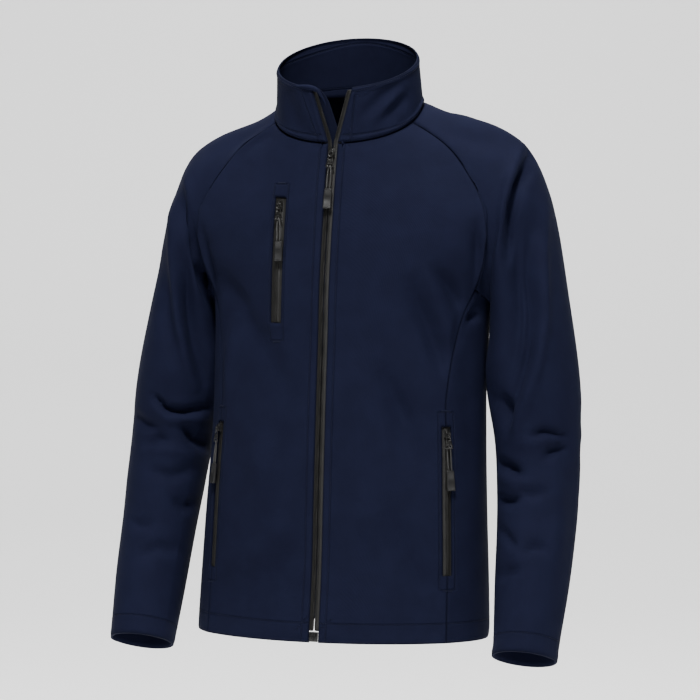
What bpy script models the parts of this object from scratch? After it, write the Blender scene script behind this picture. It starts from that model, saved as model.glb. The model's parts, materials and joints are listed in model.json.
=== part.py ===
"""A man's softshell jacket in the hollow form that it has when it is worn.

Metres, +Z up. The front faces -Y and the wearer's left is +X. The origin lies between the
two high points of the shoulders, where the wearer holds the jacket up.
"""

import math
from bisect import bisect_right
from collections import namedtuple

import bmesh
import bpy
import numpy as np
from mathutils import Matrix

# Heights, below the high point of the shoulder
HEM = -0.709
HEM_STITCH = -0.684
POCKET_BOTTOM = -0.621
POCKET_TOP = -0.425
CHEST_ZIP_BOTTOM = -0.289
ARMPIT = -0.245
UNDERARM = -0.262
CHEST_ZIP_TOP = -0.124
FRONT_NECK = -0.050

# Cloth and seams
CLOTH = 0.0020
TURNED_CLOTH = 0.0030
SEAM_GAP = 0.0003
RAGLAN_GAP = 0.0006
MOST_MITRE = 1.8

# Zips: half of the window that shows, coil and tape
ZIP_HALF_WINDOW = 0.0065
COIL_HALF_WIDTH = 0.0026
COIL_STEP = 0.0005
TAPE_HALF_WIDTH = 0.0122
COIL_DEPTH = 0.0009
TAPE_DEPTH = 0.0027
ZIP_BACK = 0.0039
ZIP_END = 0.0060
BOX_HEIGHT = 0.0150
CHEST_ZIP_INNER = 0.0620
CHEST_ZIP_OUTER = 0.0785

# Neck and collar
NECK_HALF_WIDTH = 0.103
NECK_CENTRE = 0.018
NECK_FRONT = 0.068
NECK_BACK = 0.066
BACK_NECK = 0.018
NECKLINE_POWER = 0.77
FRONT_RAGLAN_ANGLE = math.radians(70)
BACK_RAGLAN_ANGLE = math.radians(115)
COLLAR_HALF_WIDTH = 0.0985
COLLAR_CENTRE = 0.012
COLLAR_FRONT = 0.070
COLLAR_BACK = 0.068
COLLAR_TOP_MEAN = 0.058
COLLAR_TOP_TILT = 0.0355
COLLAR_OPENING = 0.029
NECK_BAND = 0.11
NECK_BAND_RISE = 0.0010

# Zip pulls and sliders, from the hinge axis
PULL_AXIS_HEIGHT = 0.0036
MAIN_SLIDER_HEIGHT = -0.0620
CHEST_SLIDER_DROP = 0.0075
POCKET_SLIDER_DROP = 0.0075

# A horizontal ring of the trunk: |x / half_width| and |y - centre| / depth to the same power
Ring = namedtuple("Ring", "z half_width centre front back power")
TRUNK = (
    Ring(-0.709, 0.2055, -0.0120, 0.1180, 0.1220, 2.00),
    Ring(-0.600, 0.2018, -0.0010, 0.1145, 0.1200, 2.00),
    Ring(-0.530, 0.1986, 0.0030, 0.1140, 0.1220, 2.00),
    Ring(-0.420, 0.1925, 0.0136, 0.1156, 0.1240, 2.00),
    Ring(-0.360, 0.1912, 0.0200, 0.1170, 0.1280, 2.00),
    Ring(-0.300, 0.1920, 0.0300, 0.1210, 0.1320, 2.00),
    Ring(-0.260, 0.1960, 0.0380, 0.1270, 0.1360, 2.00),
    Ring(-0.220, 0.2220, 0.0460, 0.1300, 0.1340, 2.00),
    Ring(-0.180, 0.2620, 0.0530, 0.1310, 0.1270, 1.85),
    Ring(-0.140, 0.2700, 0.0565, 0.1260, 0.1180, 1.85),
    Ring(-0.109, 0.2620, 0.0570, 0.1215, 0.1100, 1.65),
    Ring(-0.074, 0.2500, 0.0520, 0.1080, 0.1010, 1.45),
    Ring(-0.047, 0.2140, 0.0450, 0.0950, 0.0920, 1.45),
    Ring(-0.022, 0.1650, 0.0320, 0.0800, 0.0820, 1.30),
    Ring(0.020, 0.1300, 0.0180, 0.0660, 0.0660, 1.40),
)

# The seams from hem to neck: the side front seam runs into the front raglan seam at the armpit
Seam = namedtuple("Seam", "z front back")
SEAMS = (
    Seam(-0.709, 0.1690, 0.1500),
    Seam(-0.621, 0.1670, 0.1470),
    Seam(-0.425, 0.1600, 0.1400),
    Seam(-0.400, 0.1580, 0.1400),
    Seam(-0.360, 0.1610, 0.1430),
    Seam(-0.309, 0.1670, 0.1540),
    Seam(-0.270, 0.1760, 0.1680),
    Seam(-0.245, 0.1870, 0.1830),
    Seam(-0.208, 0.2020, 0.2000),
    Seam(-0.172, 0.2060, 0.2060),
    Seam(-0.138, 0.2050, 0.2040),
    Seam(-0.105, 0.1875, 0.1910),
    Seam(-0.070, 0.1620, 0.1700),
    Seam(-0.045, 0.1390, 0.1530),
    Seam(-0.022, 0.0968, 0.1250),
    Seam(0.0076, 0.0968, 0.0933),
)

# Where the rows above the armpit cross the centre line and the raglan seam
Rise = namedtuple("Rise", "front_centre front_seam back_centre back_seam")
RISES = (
    Rise(ARMPIT, ARMPIT, ARMPIT, ARMPIT),
    Rise(-0.215, -0.210, -0.205, -0.208),
    Rise(-0.185, -0.174, -0.165, -0.172),
    Rise(-0.155, -0.140, -0.125, -0.138),
    Rise(CHEST_ZIP_TOP, -0.106, -0.085, -0.103),
    Rise(-0.099, -0.075, -0.045, -0.068),
    Rise(-0.074, -0.048, -0.012, -0.032),
    Rise(FRONT_NECK, -0.022, BACK_NECK, 0.0076),
)

# A ring of the left sleeve: its centre, its size, and how far it tips up outwards and forwards
SleeveRing = namedtuple("SleeveRing", "x y z half_width half_depth tilt pitch steps")
SLEEVE = (
    SleeveRing(0.2210, 0.0530, -0.1690, 0.1095, 0.0750, 80.5, 0.0, 5),
    SleeveRing(0.2310, 0.0545, -0.2010, 0.0965, 0.0750, 71.0, 0.0, 1),
    SleeveRing(0.2373, 0.0550, -0.2340, 0.0836, 0.0745, 62.0, 0.0, 1),
    SleeveRing(0.2418, 0.0530, -0.2660, 0.0724, 0.0735, 51.5, 1.0, 1),
    SleeveRing(0.2460, 0.0470, -0.2990, 0.0640, 0.0715, 37.0, 3.0, 1),
    SleeveRing(0.2508, 0.0410, -0.3360, 0.0596, 0.0690, 17.0, 6.0, 1),
    SleeveRing(0.2565, 0.0360, -0.3850, 0.0605, 0.0660, 2.0, 9.0, 2),
    SleeveRing(0.2630, 0.0290, -0.4500, 0.0570, 0.0620, -4.0, 12.0, 3),
    SleeveRing(0.2670, 0.0144, -0.5150, 0.0558, 0.0590, -4.0, 15.0, 3),
    SleeveRing(0.2697, -0.0064, -0.5800, 0.0521, 0.0560, -2.0, 19.0, 3),
    SleeveRing(0.2711, -0.0313, -0.6450, 0.0487, 0.0520, -1.0, 21.0, 3),
    SleeveRing(0.2712, -0.0540, -0.7040, 0.0452, 0.0480, 0.0, 21.0, 2),
    SleeveRing(0.2715, -0.0630, -0.7275, 0.0445, 0.0470, 0.0, 21.0, 1),
)
# The over-arm line starts at this angle either side of the neck's middle
SLEEVE_TOP_ANGLE = math.radians(12)
SLEEVE_SMOOTHING = 3
# How far the left shoulder's top bows up between the neck and the arm, and which way
SHOULDER_BOW = 0.0088
BOW_WAY = (0.40, 0.0, 0.92)

# How far a ring's outer side moves, as the left shoulder is higher, and its inner side inwards
Lean = namedtuple("Lean", "z left_x left_z right_x right_z hug")
LEANS = (
    Lean(-0.500, 0.0000, 0.0000, 0.0000, 0.0000, 0.0000),
    Lean(-0.400, 0.0015, 0.0000, -0.0020, 0.0000, 0.0020),
    Lean(-0.300, 0.0025, 0.0010, -0.0020, -0.0010, 0.0030),
    Lean(-0.240, 0.0040, 0.0025, -0.0010, -0.0035, 0.0045),
    Lean(-0.169, 0.0055, 0.0030, 0.0000, -0.0060, 0.0065),
)

# A crease of a sleeve: where it runs, round the arm and down it, its half width and its depth
Crease = namedtuple("Crease", "side angle_a z_a angle_b z_b half_width rise")
CREASES = (
    Crease(1, 95, -0.415, 20, -0.455, 0.016, -0.0050),
    Crease(1, 150, -0.445, 60, -0.490, 0.016, -0.0045),
    Crease(1, 110, -0.535, 40, -0.560, 0.016, -0.0035),
    Crease(-1, 150, -0.395, 40, -0.400, 0.016, -0.0050),
    Crease(-1, 140, -0.455, 50, -0.440, 0.016, -0.0045),
    Crease(-1, 110, -0.560, 30, -0.540, 0.016, -0.0030),
    Crease(1, 200, -0.430, 300, -0.470, 0.018, -0.0040),
    Crease(-1, 200, -0.420, 300, -0.455, 0.018, -0.0040),
)

# A section of a zip pull: how far below the axis, its half width and half thickness
PullSection = namedtuple("PullSection", "down half_width half_thick")
PULL = (
    PullSection(-0.00055, 0.0030, 0.00055),
    PullSection(0.00055, 0.0030, 0.00055),
    PullSection(0.0060, 0.0036, 0.00060),
    PullSection(0.0120, 0.0046, 0.00070),
    PullSection(0.0210, 0.0062, 0.00075),
    PullSection(0.0225, 0.0034, 0.00110),
    PullSection(0.0500, 0.0034, 0.00110),
    PullSection(0.0510, 0.0052, 0.00160),
    PullSection(0.0560, 0.0060, 0.00210),
    PullSection(0.0720, 0.0057, 0.00200),
    PullSection(0.0775, 0.0046, 0.00140),
)
PULL_EYE = 0.5

# A slider in blocks: across, out from the cloth and along it, all from the hinge axis
SLIDER_ACROSS = (-0.0042, -0.0010, 0.0010, 0.0042)
SLIDER_OUT = (-0.0041, -0.0021, 0.0009, 0.0019)
SLIDER_ALONG = (-0.0062, -0.0047, -0.0035, 0.0012, 0.0024, 0.0052)

# The columns of a lattice: places across the front, then shares of what is left
FRONT_COLUMNS = (ZIP_HALF_WINDOW + SEAM_GAP, 0.026, 0.046, CHEST_ZIP_INNER, CHEST_ZIP_OUTER)
FRONT_SHARES = (0.36, 0.70)
BACK_COLUMNS = 16
SIDE_COLUMNS = 7
NECK_STEPS = 3
COLLAR_COLUMNS = 36


def at(rows, column, key):
    """The value of a table's column at a height, on a smooth curve through its rows."""
    keys = [row.z for row in rows]
    values = [getattr(row, column) for row in rows]
    key = min(max(key, keys[0]), keys[-1])
    i = min(bisect_right(keys, key) - 1, len(keys) - 2)
    secants = np.diff(values) / np.diff(keys)

    def slope(k):
        if k in (0, len(keys) - 1):
            return secants[min(k, len(secants) - 1)]
        before, after = secants[k - 1], secants[k]
        return 2 * before * after / (before + after) if before * after > 0 else 0.0

    span = keys[i + 1] - keys[i]
    t = (key - keys[i]) / span
    rise = values[i + 1] - values[i]
    start, end = slope(i) * span, slope(i + 1) * span
    return values[i] + t * (start + t * (3 * rise - 2 * start - end + t * (start + end - 2 * rise)))


def ring_at(z):
    return Ring(z, *(at(TRUNK, column, z) for column in Ring._fields[1:]))


def trunk_y(x, z, back=False):
    """How far back the trunk lies at a place of its front or back view."""
    ring = ring_at(z)
    share = min(abs(x) / ring.half_width, 1.0) ** ring.power
    depth = (1 - share) ** (1 / ring.power)
    return ring.centre + (ring.back * depth if back else -ring.front * depth)


def trunk_round(angle, z):
    """A point of the trunk's lower rings: 0 is the middle of the front, 90 degrees the left side."""
    ring = ring_at(z)
    depth = ring.front if angle < math.pi / 2 else ring.back
    return np.array((ring.half_width * math.sin(angle), ring.centre - depth * math.cos(angle), z))


def trunk_inward(point):
    """The direction into the trunk at a point of its surface."""

    def level(x, y, z):
        ring = ring_at(z)
        depth = ring.front if y < ring.centre else ring.back
        return (abs(x) / ring.half_width) ** ring.power + (abs(y - ring.centre) / depth) ** ring.power

    small = 0.0005
    steps = np.eye(3) * small
    grown = np.array([level(*(point + step)) - level(*(point - step)) for step in steps])
    return -grown / np.linalg.norm(grown)


def neckline(angle):
    """A point where the collar meets the trunk: angle 0 is the middle of the front."""
    cosine = math.cos(angle)
    if cosine > 0:
        depth, z = NECK_FRONT, FRONT_NECK * cosine**NECKLINE_POWER
    else:
        depth, z = NECK_BACK, -BACK_NECK * cosine
    return np.array((NECK_HALF_WIDTH * math.sin(angle), NECK_CENTRE - depth * cosine, z))


def collar_point(x_share, v):
    """A point of the collar, from its neckline (v 0) to its top edge (v 1).

    x_share runs from -1, the wearer's right front edge, round the back to 1, the left one.
    """
    width = NECK_HALF_WIDTH + (COLLAR_HALF_WIDTH - NECK_HALF_WIDTH) * v
    opening = FRONT_COLUMNS[0] + (COLLAR_OPENING - FRONT_COLUMNS[0]) * v
    first = math.asin(opening / width)
    angle = math.pi - abs(x_share) * (math.pi - first)
    return collar_round(math.copysign(angle, x_share), v)


def collar_round(angle, v):
    low = neckline(abs(angle))
    cosine, sine = math.cos(angle), math.sin(abs(angle))
    depth = COLLAR_FRONT if cosine > 0 else COLLAR_BACK
    top = np.array((
        COLLAR_HALF_WIDTH * sine,
        COLLAR_CENTRE - depth * cosine,
        COLLAR_TOP_MEAN - COLLAR_TOP_TILT * cosine,
    ))
    point = low + (top - low) * v
    point[0] = math.copysign(point[0], angle)
    return point


def mirrored(points):
    return np.array(points) * (-1, 1, 1)


def clear_scene():
    for obj in list(bpy.data.objects):
        bpy.data.objects.remove(obj, do_unlink=True)


def material(name, colour, roughness, metallic=0.0):
    made = bpy.data.materials.new(name)
    made.use_nodes = True
    shader = made.node_tree.nodes["Principled BSDF"]
    shader.inputs["Base Color"].default_value = (*colour, 1.0)
    shader.inputs["Roughness"].default_value = roughness
    shader.inputs["Metallic"].default_value = metallic
    return made


def add_object(name, mesh, finish):
    obj = bpy.data.objects.new(name, mesh)
    obj.data.materials.append(finish)
    bpy.context.scene.collection.objects.link(obj)
    return obj


def mesh_from(name, points, faces):
    """A mesh with its faces turned outwards."""
    shape = bmesh.new()
    corners = [shape.verts.new(point) for point in points]
    for face in faces:
        shape.faces.new([corners[i] for i in face])
    bmesh.ops.recalc_face_normals(shape, faces=shape.faces)
    mesh = bpy.data.meshes.new(name)
    shape.to_mesh(mesh)
    shape.free()
    return mesh


def lattice_inward(points, inside, round_it=False):
    """The inward direction at each point of a lattice, from its neighbours."""
    points = np.asarray(points, float)
    along = np.gradient(points, axis=0)
    if round_it:
        across = np.roll(points, -1, axis=1) - np.roll(points, 1, axis=1)
    else:
        across = np.gradient(points, axis=1)
    inward = np.cross(along, across)
    inward /= np.linalg.norm(inward, axis=2, keepdims=True)
    turned = (inward * (np.asarray(inside) - points)).sum(axis=2) < 0
    inward[turned] *= -1
    return inward


def wall(name, finish, outer, inner, missing=(), round_it=False):
    """A closed wall between two lattices of points, without its missing cells."""
    rows, columns = len(outer), len(outer[0])
    kept = [
        (r, c)
        for r in range(rows - 1)
        for c in range(columns if round_it else columns - 1)
        if (r, c) not in missing
    ]
    used, places = {}, []

    def corner(layer, r, c):
        key = (layer, r, c % columns)
        if key not in used:
            used[key] = len(places)
            places.append((outer, inner)[layer][r][c % columns])
        return used[key]

    faces, edges = [], {}
    for r, c in kept:
        ends = [(r, c), (r, c + 1), (r + 1, c + 1), (r + 1, c)]
        for layer in (0, 1):
            for half in ((0, 1, 2), (0, 2, 3)):
                faces.append([corner(layer, *ends[n]) for n in half])
        for start, end in zip(ends, ends[1:] + ends[:1]):
            edge = tuple(sorted(((start[0], start[1] % columns), (end[0], end[1] % columns))))
            edges.setdefault(edge, []).append((start, end))
    for sides in edges.values():
        if len(sides) > 1:
            continue
        # Both panels at a seam split their edges the same way, so that the walls stay apart
        low, high = sorted(sides[0], key=lambda end: tuple(outer[end[0]][end[1] % columns][::-1]))
        faces.append([corner(0, *low), corner(0, *high), corner(1, *high)])
        faces.append([corner(0, *low), corner(1, *high), corner(1, *low)])
    return add_object(name, mesh_from(name, places, faces), finish)


def blocks(name, xs, ys, zs, kept, place):
    """A closed mesh of the blocks of a grid that are kept, with each corner put where place says."""
    used, places = {}, []

    def corner(*key):
        if key not in used:
            used[key] = len(places)
            places.append(place(xs[key[0]], ys[key[1]], zs[key[2]], key))
        return used[key]

    cells = {
        (i, j, k)
        for i in range(len(xs) - 1)
        for j in range(len(ys) - 1)
        for k in range(len(zs) - 1)
        if kept(i, j, k)
    }
    faces = []
    for cell in sorted(cells):
        for axis in range(3):
            for end in (0, 1):
                beside = list(cell)
                beside[axis] += 2 * end - 1
                if tuple(beside) in cells:
                    continue
                one, two = [n for n in range(3) if n != axis]
                face = []
                for a, b in ((0, 0), (1, 0), (1, 1), (0, 1)):
                    key = list(cell)
                    key[axis] += end
                    key[one] += a
                    key[two] += b
                    face.append(corner(*key))
                faces.append(face)
    return mesh_from(name, places, faces)


def trunk_rows():
    """The heights of the rows from the hem to the armpit."""
    marks = (
        (HEM, HEM_STITCH, 1), (HEM_STITCH, POCKET_BOTTOM, 3), (POCKET_BOTTOM, POCKET_TOP, 8),
        (POCKET_TOP, CHEST_ZIP_BOTTOM, 5), (CHEST_ZIP_BOTTOM, ARMPIT, 2),
    )
    rows = [HEM]
    for low, high, count in marks:
        rows += list(np.linspace(low, high, count + 1)[1:])
    return rows


LOW_ROWS = trunk_rows()
POCKET_ROWS = [
    r for r, z in enumerate(LOW_ROWS) if POCKET_BOTTOM - 1e-6 < z < POCKET_TOP - 1e-6
]
CHEST_ROWS = [
    r for r, z in enumerate(LOW_ROWS) if z > CHEST_ZIP_BOTTOM - 1e-6
] + [len(LOW_ROWS) + r for r in range(3)]


def seam_angle(z, side, offset=0.0):
    """The angle of the front or back seam on a lower ring, moved along the ring by offset."""
    ring = ring_at(z)
    angle = math.asin(at(SEAMS, side, z) / ring.half_width)
    depth = ring.front if side == "front" else ring.back
    speed = math.hypot(ring.half_width * math.cos(angle), depth * math.sin(angle))
    angle += offset / speed
    return angle if side == "front" else math.pi - angle


def front_lattice():
    """The left front's outer points, with its raglan edge as its last column."""
    rows = []
    levels = [(z, z) for z in LOW_ROWS] + [(rise.front_centre, rise.front_seam) for rise in RISES[1:]]
    top_x = None
    for r, (centre_z, seam_z) in enumerate(levels):
        last = r == len(levels) - 1
        if r < len(LOW_ROWS):
            edge = trunk_round(seam_angle(centre_z, "front", -SEAM_GAP / 2), centre_z)[0]
            inner_edge = trunk_round(
                seam_angle(centre_z, "front", -ZIP_HALF_WINDOW), centre_z
            )[0]
        else:
            edge = NECK_HALF_WIDTH * math.sin(FRONT_RAGLAN_ANGLE) if last else at(SEAMS, "front", seam_z)
            inner_edge = edge - ZIP_HALF_WINDOW
        xs = list(FRONT_COLUMNS)
        xs += [xs[-1] + share * (inner_edge - xs[-1]) for share in FRONT_SHARES]
        xs += [inner_edge, edge]
        row = []
        for x in xs:
            share = (x - xs[0]) / (xs[-1] - xs[0])
            z = centre_z + (seam_z - centre_z) * share**2
            row.append(np.array((x, trunk_y(x, z), z)))
        rows.append(row)
        top_x = xs
    blend_to_neckline(rows, [neckline(math.asin(x / NECK_HALF_WIDTH)) for x in top_x])
    return np.array(rows)


def back_lattice():
    """The back's outer points, from the wearer's right to the left."""
    rows = []
    levels = [(z, z) for z in LOW_ROWS] + [(rise.back_centre, rise.back_seam) for rise in RISES[1:]]
    for r, (centre_z, seam_z) in enumerate(levels):
        last = r == len(levels) - 1
        if r < len(LOW_ROWS):
            edge = trunk_round(seam_angle(centre_z, "back", -SEAM_GAP / 2), centre_z)[0]
        else:
            edge = NECK_HALF_WIDTH * math.sin(BACK_RAGLAN_ANGLE) if last else at(SEAMS, "back", seam_z)
        row = []
        for share in np.linspace(-1, 1, BACK_COLUMNS + 1):
            z = centre_z + (seam_z - centre_z) * share**2
            row.append(np.array((share * edge, trunk_y(share * edge, z, back=True), z)))
        rows.append(row)
    top = [
        neckline(math.pi - math.asin(abs(point[0]) / NECK_HALF_WIDTH)) * (math.copysign(1, point[0]), 1, 1)
        for point in rows[-1]
    ]
    blend_to_neckline(rows, top)
    return np.array(rows)


def blend_to_neckline(rows, top):
    """Moves the last rows so that the top one is the neckline."""
    moves = [place - point for place, point in zip(top, rows[-1])]
    for back_by, share in ((1, 1.0), (2, 0.55), (3, 0.2)):
        rows[-back_by] = [point + share * move for point, move in zip(rows[-back_by], moves)]


def side_lattice():
    """The left side panel's outer points, from the front seam round to the back seam."""
    rows = []
    for z in LOW_ROWS:
        near_top = max(0.0, 1 - (ARMPIT - z) / 0.09)
        first = seam_angle(z, "front", SEAM_GAP / 2)
        second = seam_angle(z, "front", ZIP_HALF_WINDOW)
        last = seam_angle(z, "back", SEAM_GAP / 2)
        angles = [first, *np.linspace(second, last, SIDE_COLUMNS)]
        row = []
        for angle in angles:
            share = (angle - first) / (last - first)
            dip = (UNDERARM - ARMPIT) * math.sin(math.pi * share) * near_top
            row.append(trunk_round(angle, z + dip))
        rows.append(row)
    return np.array(rows)


def sleeve_ring_point(ring, angle, side):
    tilt, pitch = math.radians(ring.tilt), math.radians(ring.pitch)
    outer = np.array((math.cos(tilt), 0, math.sin(tilt)))
    front = np.array((
        -math.sin(pitch) * math.sin(tilt), -math.cos(pitch), math.sin(pitch) * math.cos(tilt)
    ))
    centre = np.array((ring.x, ring.y, ring.z))
    if side:
        name = "left" if side > 0 else "right"
        lean = np.array((at(LEANS, name + "_x", ring.z), 0, at(LEANS, name + "_z", ring.z)))
        centre += lean * (1 + math.cos(angle)) / 2
    centre[0] -= at(LEANS, "hug", ring.z) * ((1 - math.cos(angle)) / 2) ** 2
    return (
        centre
        + ring.half_width * math.cos(angle) * outer
        + ring.half_depth * math.sin(angle) * front
    )


def curve_through(points, steps):
    """Points on a smooth curve through the given ones, with that many steps to each of them."""
    points = np.array(points)
    chords = np.linalg.norm(np.diff(points, axis=0), axis=1)
    times = np.concatenate([[0], np.cumsum(chords)])
    slopes = np.gradient(points, times, axis=0)
    out = [points[0]]
    for i, count in enumerate(steps):
        span = times[i + 1] - times[i]
        for step in range(1, count + 1):
            t = step / count
            out.append(
                (2 * t**3 - 3 * t**2 + 1) * points[i]
                + (t**3 - 2 * t**2 + t) * span * slopes[i]
                + (3 * t**2 - 2 * t**3) * points[i + 1]
                + (t**3 - t**2) * span * slopes[i + 1]
            )
    return out


def sleeve_loop(front, side, back):
    """The closed raglan seam of the left sleeve, from the neck down the front and up the back."""
    upper = len(LOW_ROWS) - 1
    down = [front[r][-1] for r in range(len(front) - 1, upper - 1, -1)]
    under = [side[-1][c] for c in range(1, len(side[-1]) - 1)]
    up = [back[r][-1] for r in range(upper, len(back))]
    over = [
        neckline(BACK_RAGLAN_ANGLE + (FRONT_RAGLAN_ANGLE - BACK_RAGLAN_ANGLE) * step / NECK_STEPS)
        for step in range(1, NECK_STEPS)
    ]
    return np.array(down + under + up + over), len(down), len(under), len(up)


def sleeve_angles(loop, down, under, up):
    """The angle round the arm of each point of the raglan seam, by its distance along it."""
    lengths = np.linalg.norm(np.roll(loop, -1, axis=0) - loop, axis=1)
    travelled = np.concatenate([[0], np.cumsum(lengths)])
    middle = travelled[down + under // 2]
    end = travelled[down + under + up - 1]
    marks = (0, middle, end, travelled[-1])
    angles = (
        SLEEVE_TOP_ANGLE, math.pi, 2 * math.pi - SLEEVE_TOP_ANGLE, 2 * math.pi + SLEEVE_TOP_ANGLE
    )
    return [float(np.interp(place, marks, angles)) for place in travelled[:-1]]


def crease_rise(side, angle, z):
    """How far the creases of a sleeve move its surface out at an angle and height."""
    total = 0.0
    for crease in CREASES:
        if crease.side != side:
            continue
        start = np.array((crease.angle_a, crease.z_a))
        run = np.array((crease.angle_b, crease.z_b)) - start
        share = (math.degrees(angle) % 360 - start[0]) / run[0]
        if 0 < share < 1:
            away = (z - start[1] - share * run[1]) / crease.half_width
            total += crease.rise * math.sin(math.pi * share) * math.exp(-away * away)
    return total


def sleeve_lattice(loop, angles, side):
    """The outer points of a sleeve in the left sleeve's place, with the creases of its side."""
    columns = []
    steps = [ring.steps for ring in SLEEVE]
    for start, angle in zip(loop, angles):
        keys = [start, *(sleeve_ring_point(ring, angle, side) for ring in SLEEVE)]
        columns.append(curve_through(keys, steps))
    points = np.array(columns).transpose(1, 0, 2)
    first = steps[0]
    for _ in range(SLEEVE_SMOOTHING):
        rows = points[1:first]
        beside = np.roll(rows, 1, axis=1) + np.roll(rows, -1, axis=1)
        points[1:first] = (beside + 2 * rows) / 4
    if side > 0:
        for r in range(1, first):
            for c, angle in enumerate(angles):
                share = math.sin(math.pi * (r / first) ** 0.7) * ((1 + math.cos(angle)) / 2) ** 4
                points[r][c] += np.array(BOW_WAY) * SHOULDER_BOW * share
    centres = points.mean(axis=1, keepdims=True)
    inward = lattice_inward(points, centres, round_it=True)
    for r, row in enumerate(points):
        for c, angle in enumerate(angles):
            row[c] -= inward[r][c] * crease_rise(side, angle, row[c][2])
    return points, lattice_inward(points, centres, round_it=True)


def shared_inward(trunk_way, sleeve_way):
    """The wall's direction where two panels meet, longer where they meet at an angle."""
    both = trunk_way + sleeve_way
    both /= np.linalg.norm(both)
    return both * min(1 / max(both @ trunk_way, 0.1), MOST_MITRE)


def thickness(z):
    return TURNED_CLOTH if z < HEM_STITCH - 1e-6 else CLOTH


def trunk_directions(points):
    return np.array([[trunk_inward(point) for point in row] for row in points])


def inner_of(points, inward):
    thick = np.array([[thickness(point[2]) for point in row] for row in points])
    return points + inward * thick[..., None]


def build_trunk_and_sleeves(navy):
    front, side, back = front_lattice(), side_lattice(), back_lattice()
    loop, down, under, up = sleeve_loop(front, side, back)
    angles = sleeve_angles(loop, down, under, up)
    ways = {name: trunk_directions(points) for name, points in
            (("front", front), ("side", side), ("back", back))}
    _, sleeve_in = sleeve_lattice(loop, angles, 0)
    seam_ways = np.array([
        shared_inward(trunk_inward(point), way) for point, way in zip(loop, sleeve_in[0])
    ])
    upper = len(LOW_ROWS) - 1
    for i, r in enumerate(range(len(front) - 1, upper - 1, -1)):
        ways["front"][r][-1] = seam_ways[i]
    ways["side"][-1][0] = seam_ways[down - 1]
    for i, c in enumerate(range(1, side.shape[1] - 1)):
        ways["side"][-1][c] = seam_ways[down + i]
    ways["side"][-1][-1] = seam_ways[down + under]
    for i, r in enumerate(range(upper, len(back))):
        ways["back"][r][-1] = seam_ways[down + under + i]
        ways["back"][r][0] = seam_ways[down + under + i] * (-1, 1, 1)

    edge = front.shape[1] - 2
    pocket = {(r, edge) for r in POCKET_ROWS}
    chest_column = FRONT_COLUMNS.index(CHEST_ZIP_INNER)
    chest = {(r, chest_column) for r in CHEST_ROWS}
    front_inner = inner_of(front, ways["front"])
    side_inner = inner_of(side, ways["side"])
    wall("front_left", navy, front, front_inner, pocket)
    wall("front_right", navy, mirrored(front), mirrored(front_inner), pocket | chest)
    side_pocket = {(r, 0) for r in POCKET_ROWS}
    wall("side_left", navy, side, side_inner, side_pocket)
    wall("side_right", navy, mirrored(side), mirrored(side_inner), side_pocket)
    wall("back", navy, back, inner_of(back, ways["back"]))

    for name, side_sign in (("sleeve_left", 1), ("sleeve_right", -1)):
        points, inward = sleeve_lattice(loop, angles, side_sign)
        inward[0] = seam_ways
        runs = points[1] - points[0]
        along = np.roll(loop, -1, axis=0) - np.roll(loop, 1, axis=0)
        along /= np.linalg.norm(along, axis=1, keepdims=True)
        runs -= along * (runs * along).sum(axis=1, keepdims=True)
        points[0] += runs / np.linalg.norm(runs, axis=1, keepdims=True) * RAGLAN_GAP
        thick = np.full(points.shape[:2], CLOTH)
        thick[-2:] = TURNED_CLOTH
        inner = points + inward * thick[..., None]
        if side_sign < 0:
            points, inner = mirrored(points), mirrored(inner)
        wall(name, navy, points, inner, round_it=True)
    return front


def build_collar(navy):
    levels = (0.006, 0.03, NECK_BAND - 0.02, NECK_BAND, 0.32, 0.55, 0.78, 1.0)
    points, inside = [], []
    for v in levels:
        rise = NECK_BAND_RISE if 0.02 < v < NECK_BAND - 0.01 else 0.0
        row = []
        for share in np.linspace(-1, 1, COLLAR_COLUMNS + 1):
            point = collar_point(share if share else 1e-9, v)
            out = point - np.array((0, NECK_CENTRE, point[2]))
            row.append(point + out / np.linalg.norm(out) * rise)
        points.append(row)
        inside.append([np.array((0, NECK_CENTRE, row[0][2]))] * len(row))
    points = np.array(points)
    smooth = np.array([
        [collar_point(share if share else 1e-9, v) for share in np.linspace(-1, 1, COLLAR_COLUMNS + 1)]
        for v in levels
    ])
    inward = lattice_inward(smooth, inside)
    inward[0, :, 2] = np.maximum(inward[0, :, 2], 0)
    wall("collar", navy, points, smooth + inward * CLOTH)


def zip_rows():
    """Centre line places of the main zip: height on the trunk, or share of the collar's height."""
    box_top = HEM + BOX_HEIGHT
    trunk = [box_top] + [z for z in LOW_ROWS if z > box_top]
    trunk += [rise.front_centre for rise in RISES[1:-1]]
    return trunk, (0.0, 0.25, 0.5, 0.75, 0.97)


def main_zip_lattice(offsets):
    """Points of the left half of the main zip, at offsets from the front's edge."""
    trunk, collar = zip_rows()
    rows, ways = [], []
    for z in trunk:
        xs = [FRONT_COLUMNS[0] + offset for offset in offsets]
        row = [np.array((x, trunk_y(x, z), z)) for x in xs]
        rows.append(row)
        ways.append([trunk_inward(np.array((FRONT_COLUMNS[0], row[0][1], z)))] * len(row))
    for v in collar:
        width = NECK_HALF_WIDTH + (COLLAR_HALF_WIDTH - NECK_HALF_WIDTH) * v
        opening = FRONT_COLUMNS[0] + (COLLAR_OPENING - FRONT_COLUMNS[0]) * v
        row = [collar_round(math.asin((opening + offset) / width), v) for offset in offsets]
        rows.append(row)
        ways.append([np.array((0.0, 1.0, 0.0))] * len(row))
    ways = np.array(ways)
    ways[:, :, 0] = 0.0
    ways /= np.linalg.norm(ways, axis=2, keepdims=True)
    return np.array(rows), ways


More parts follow.
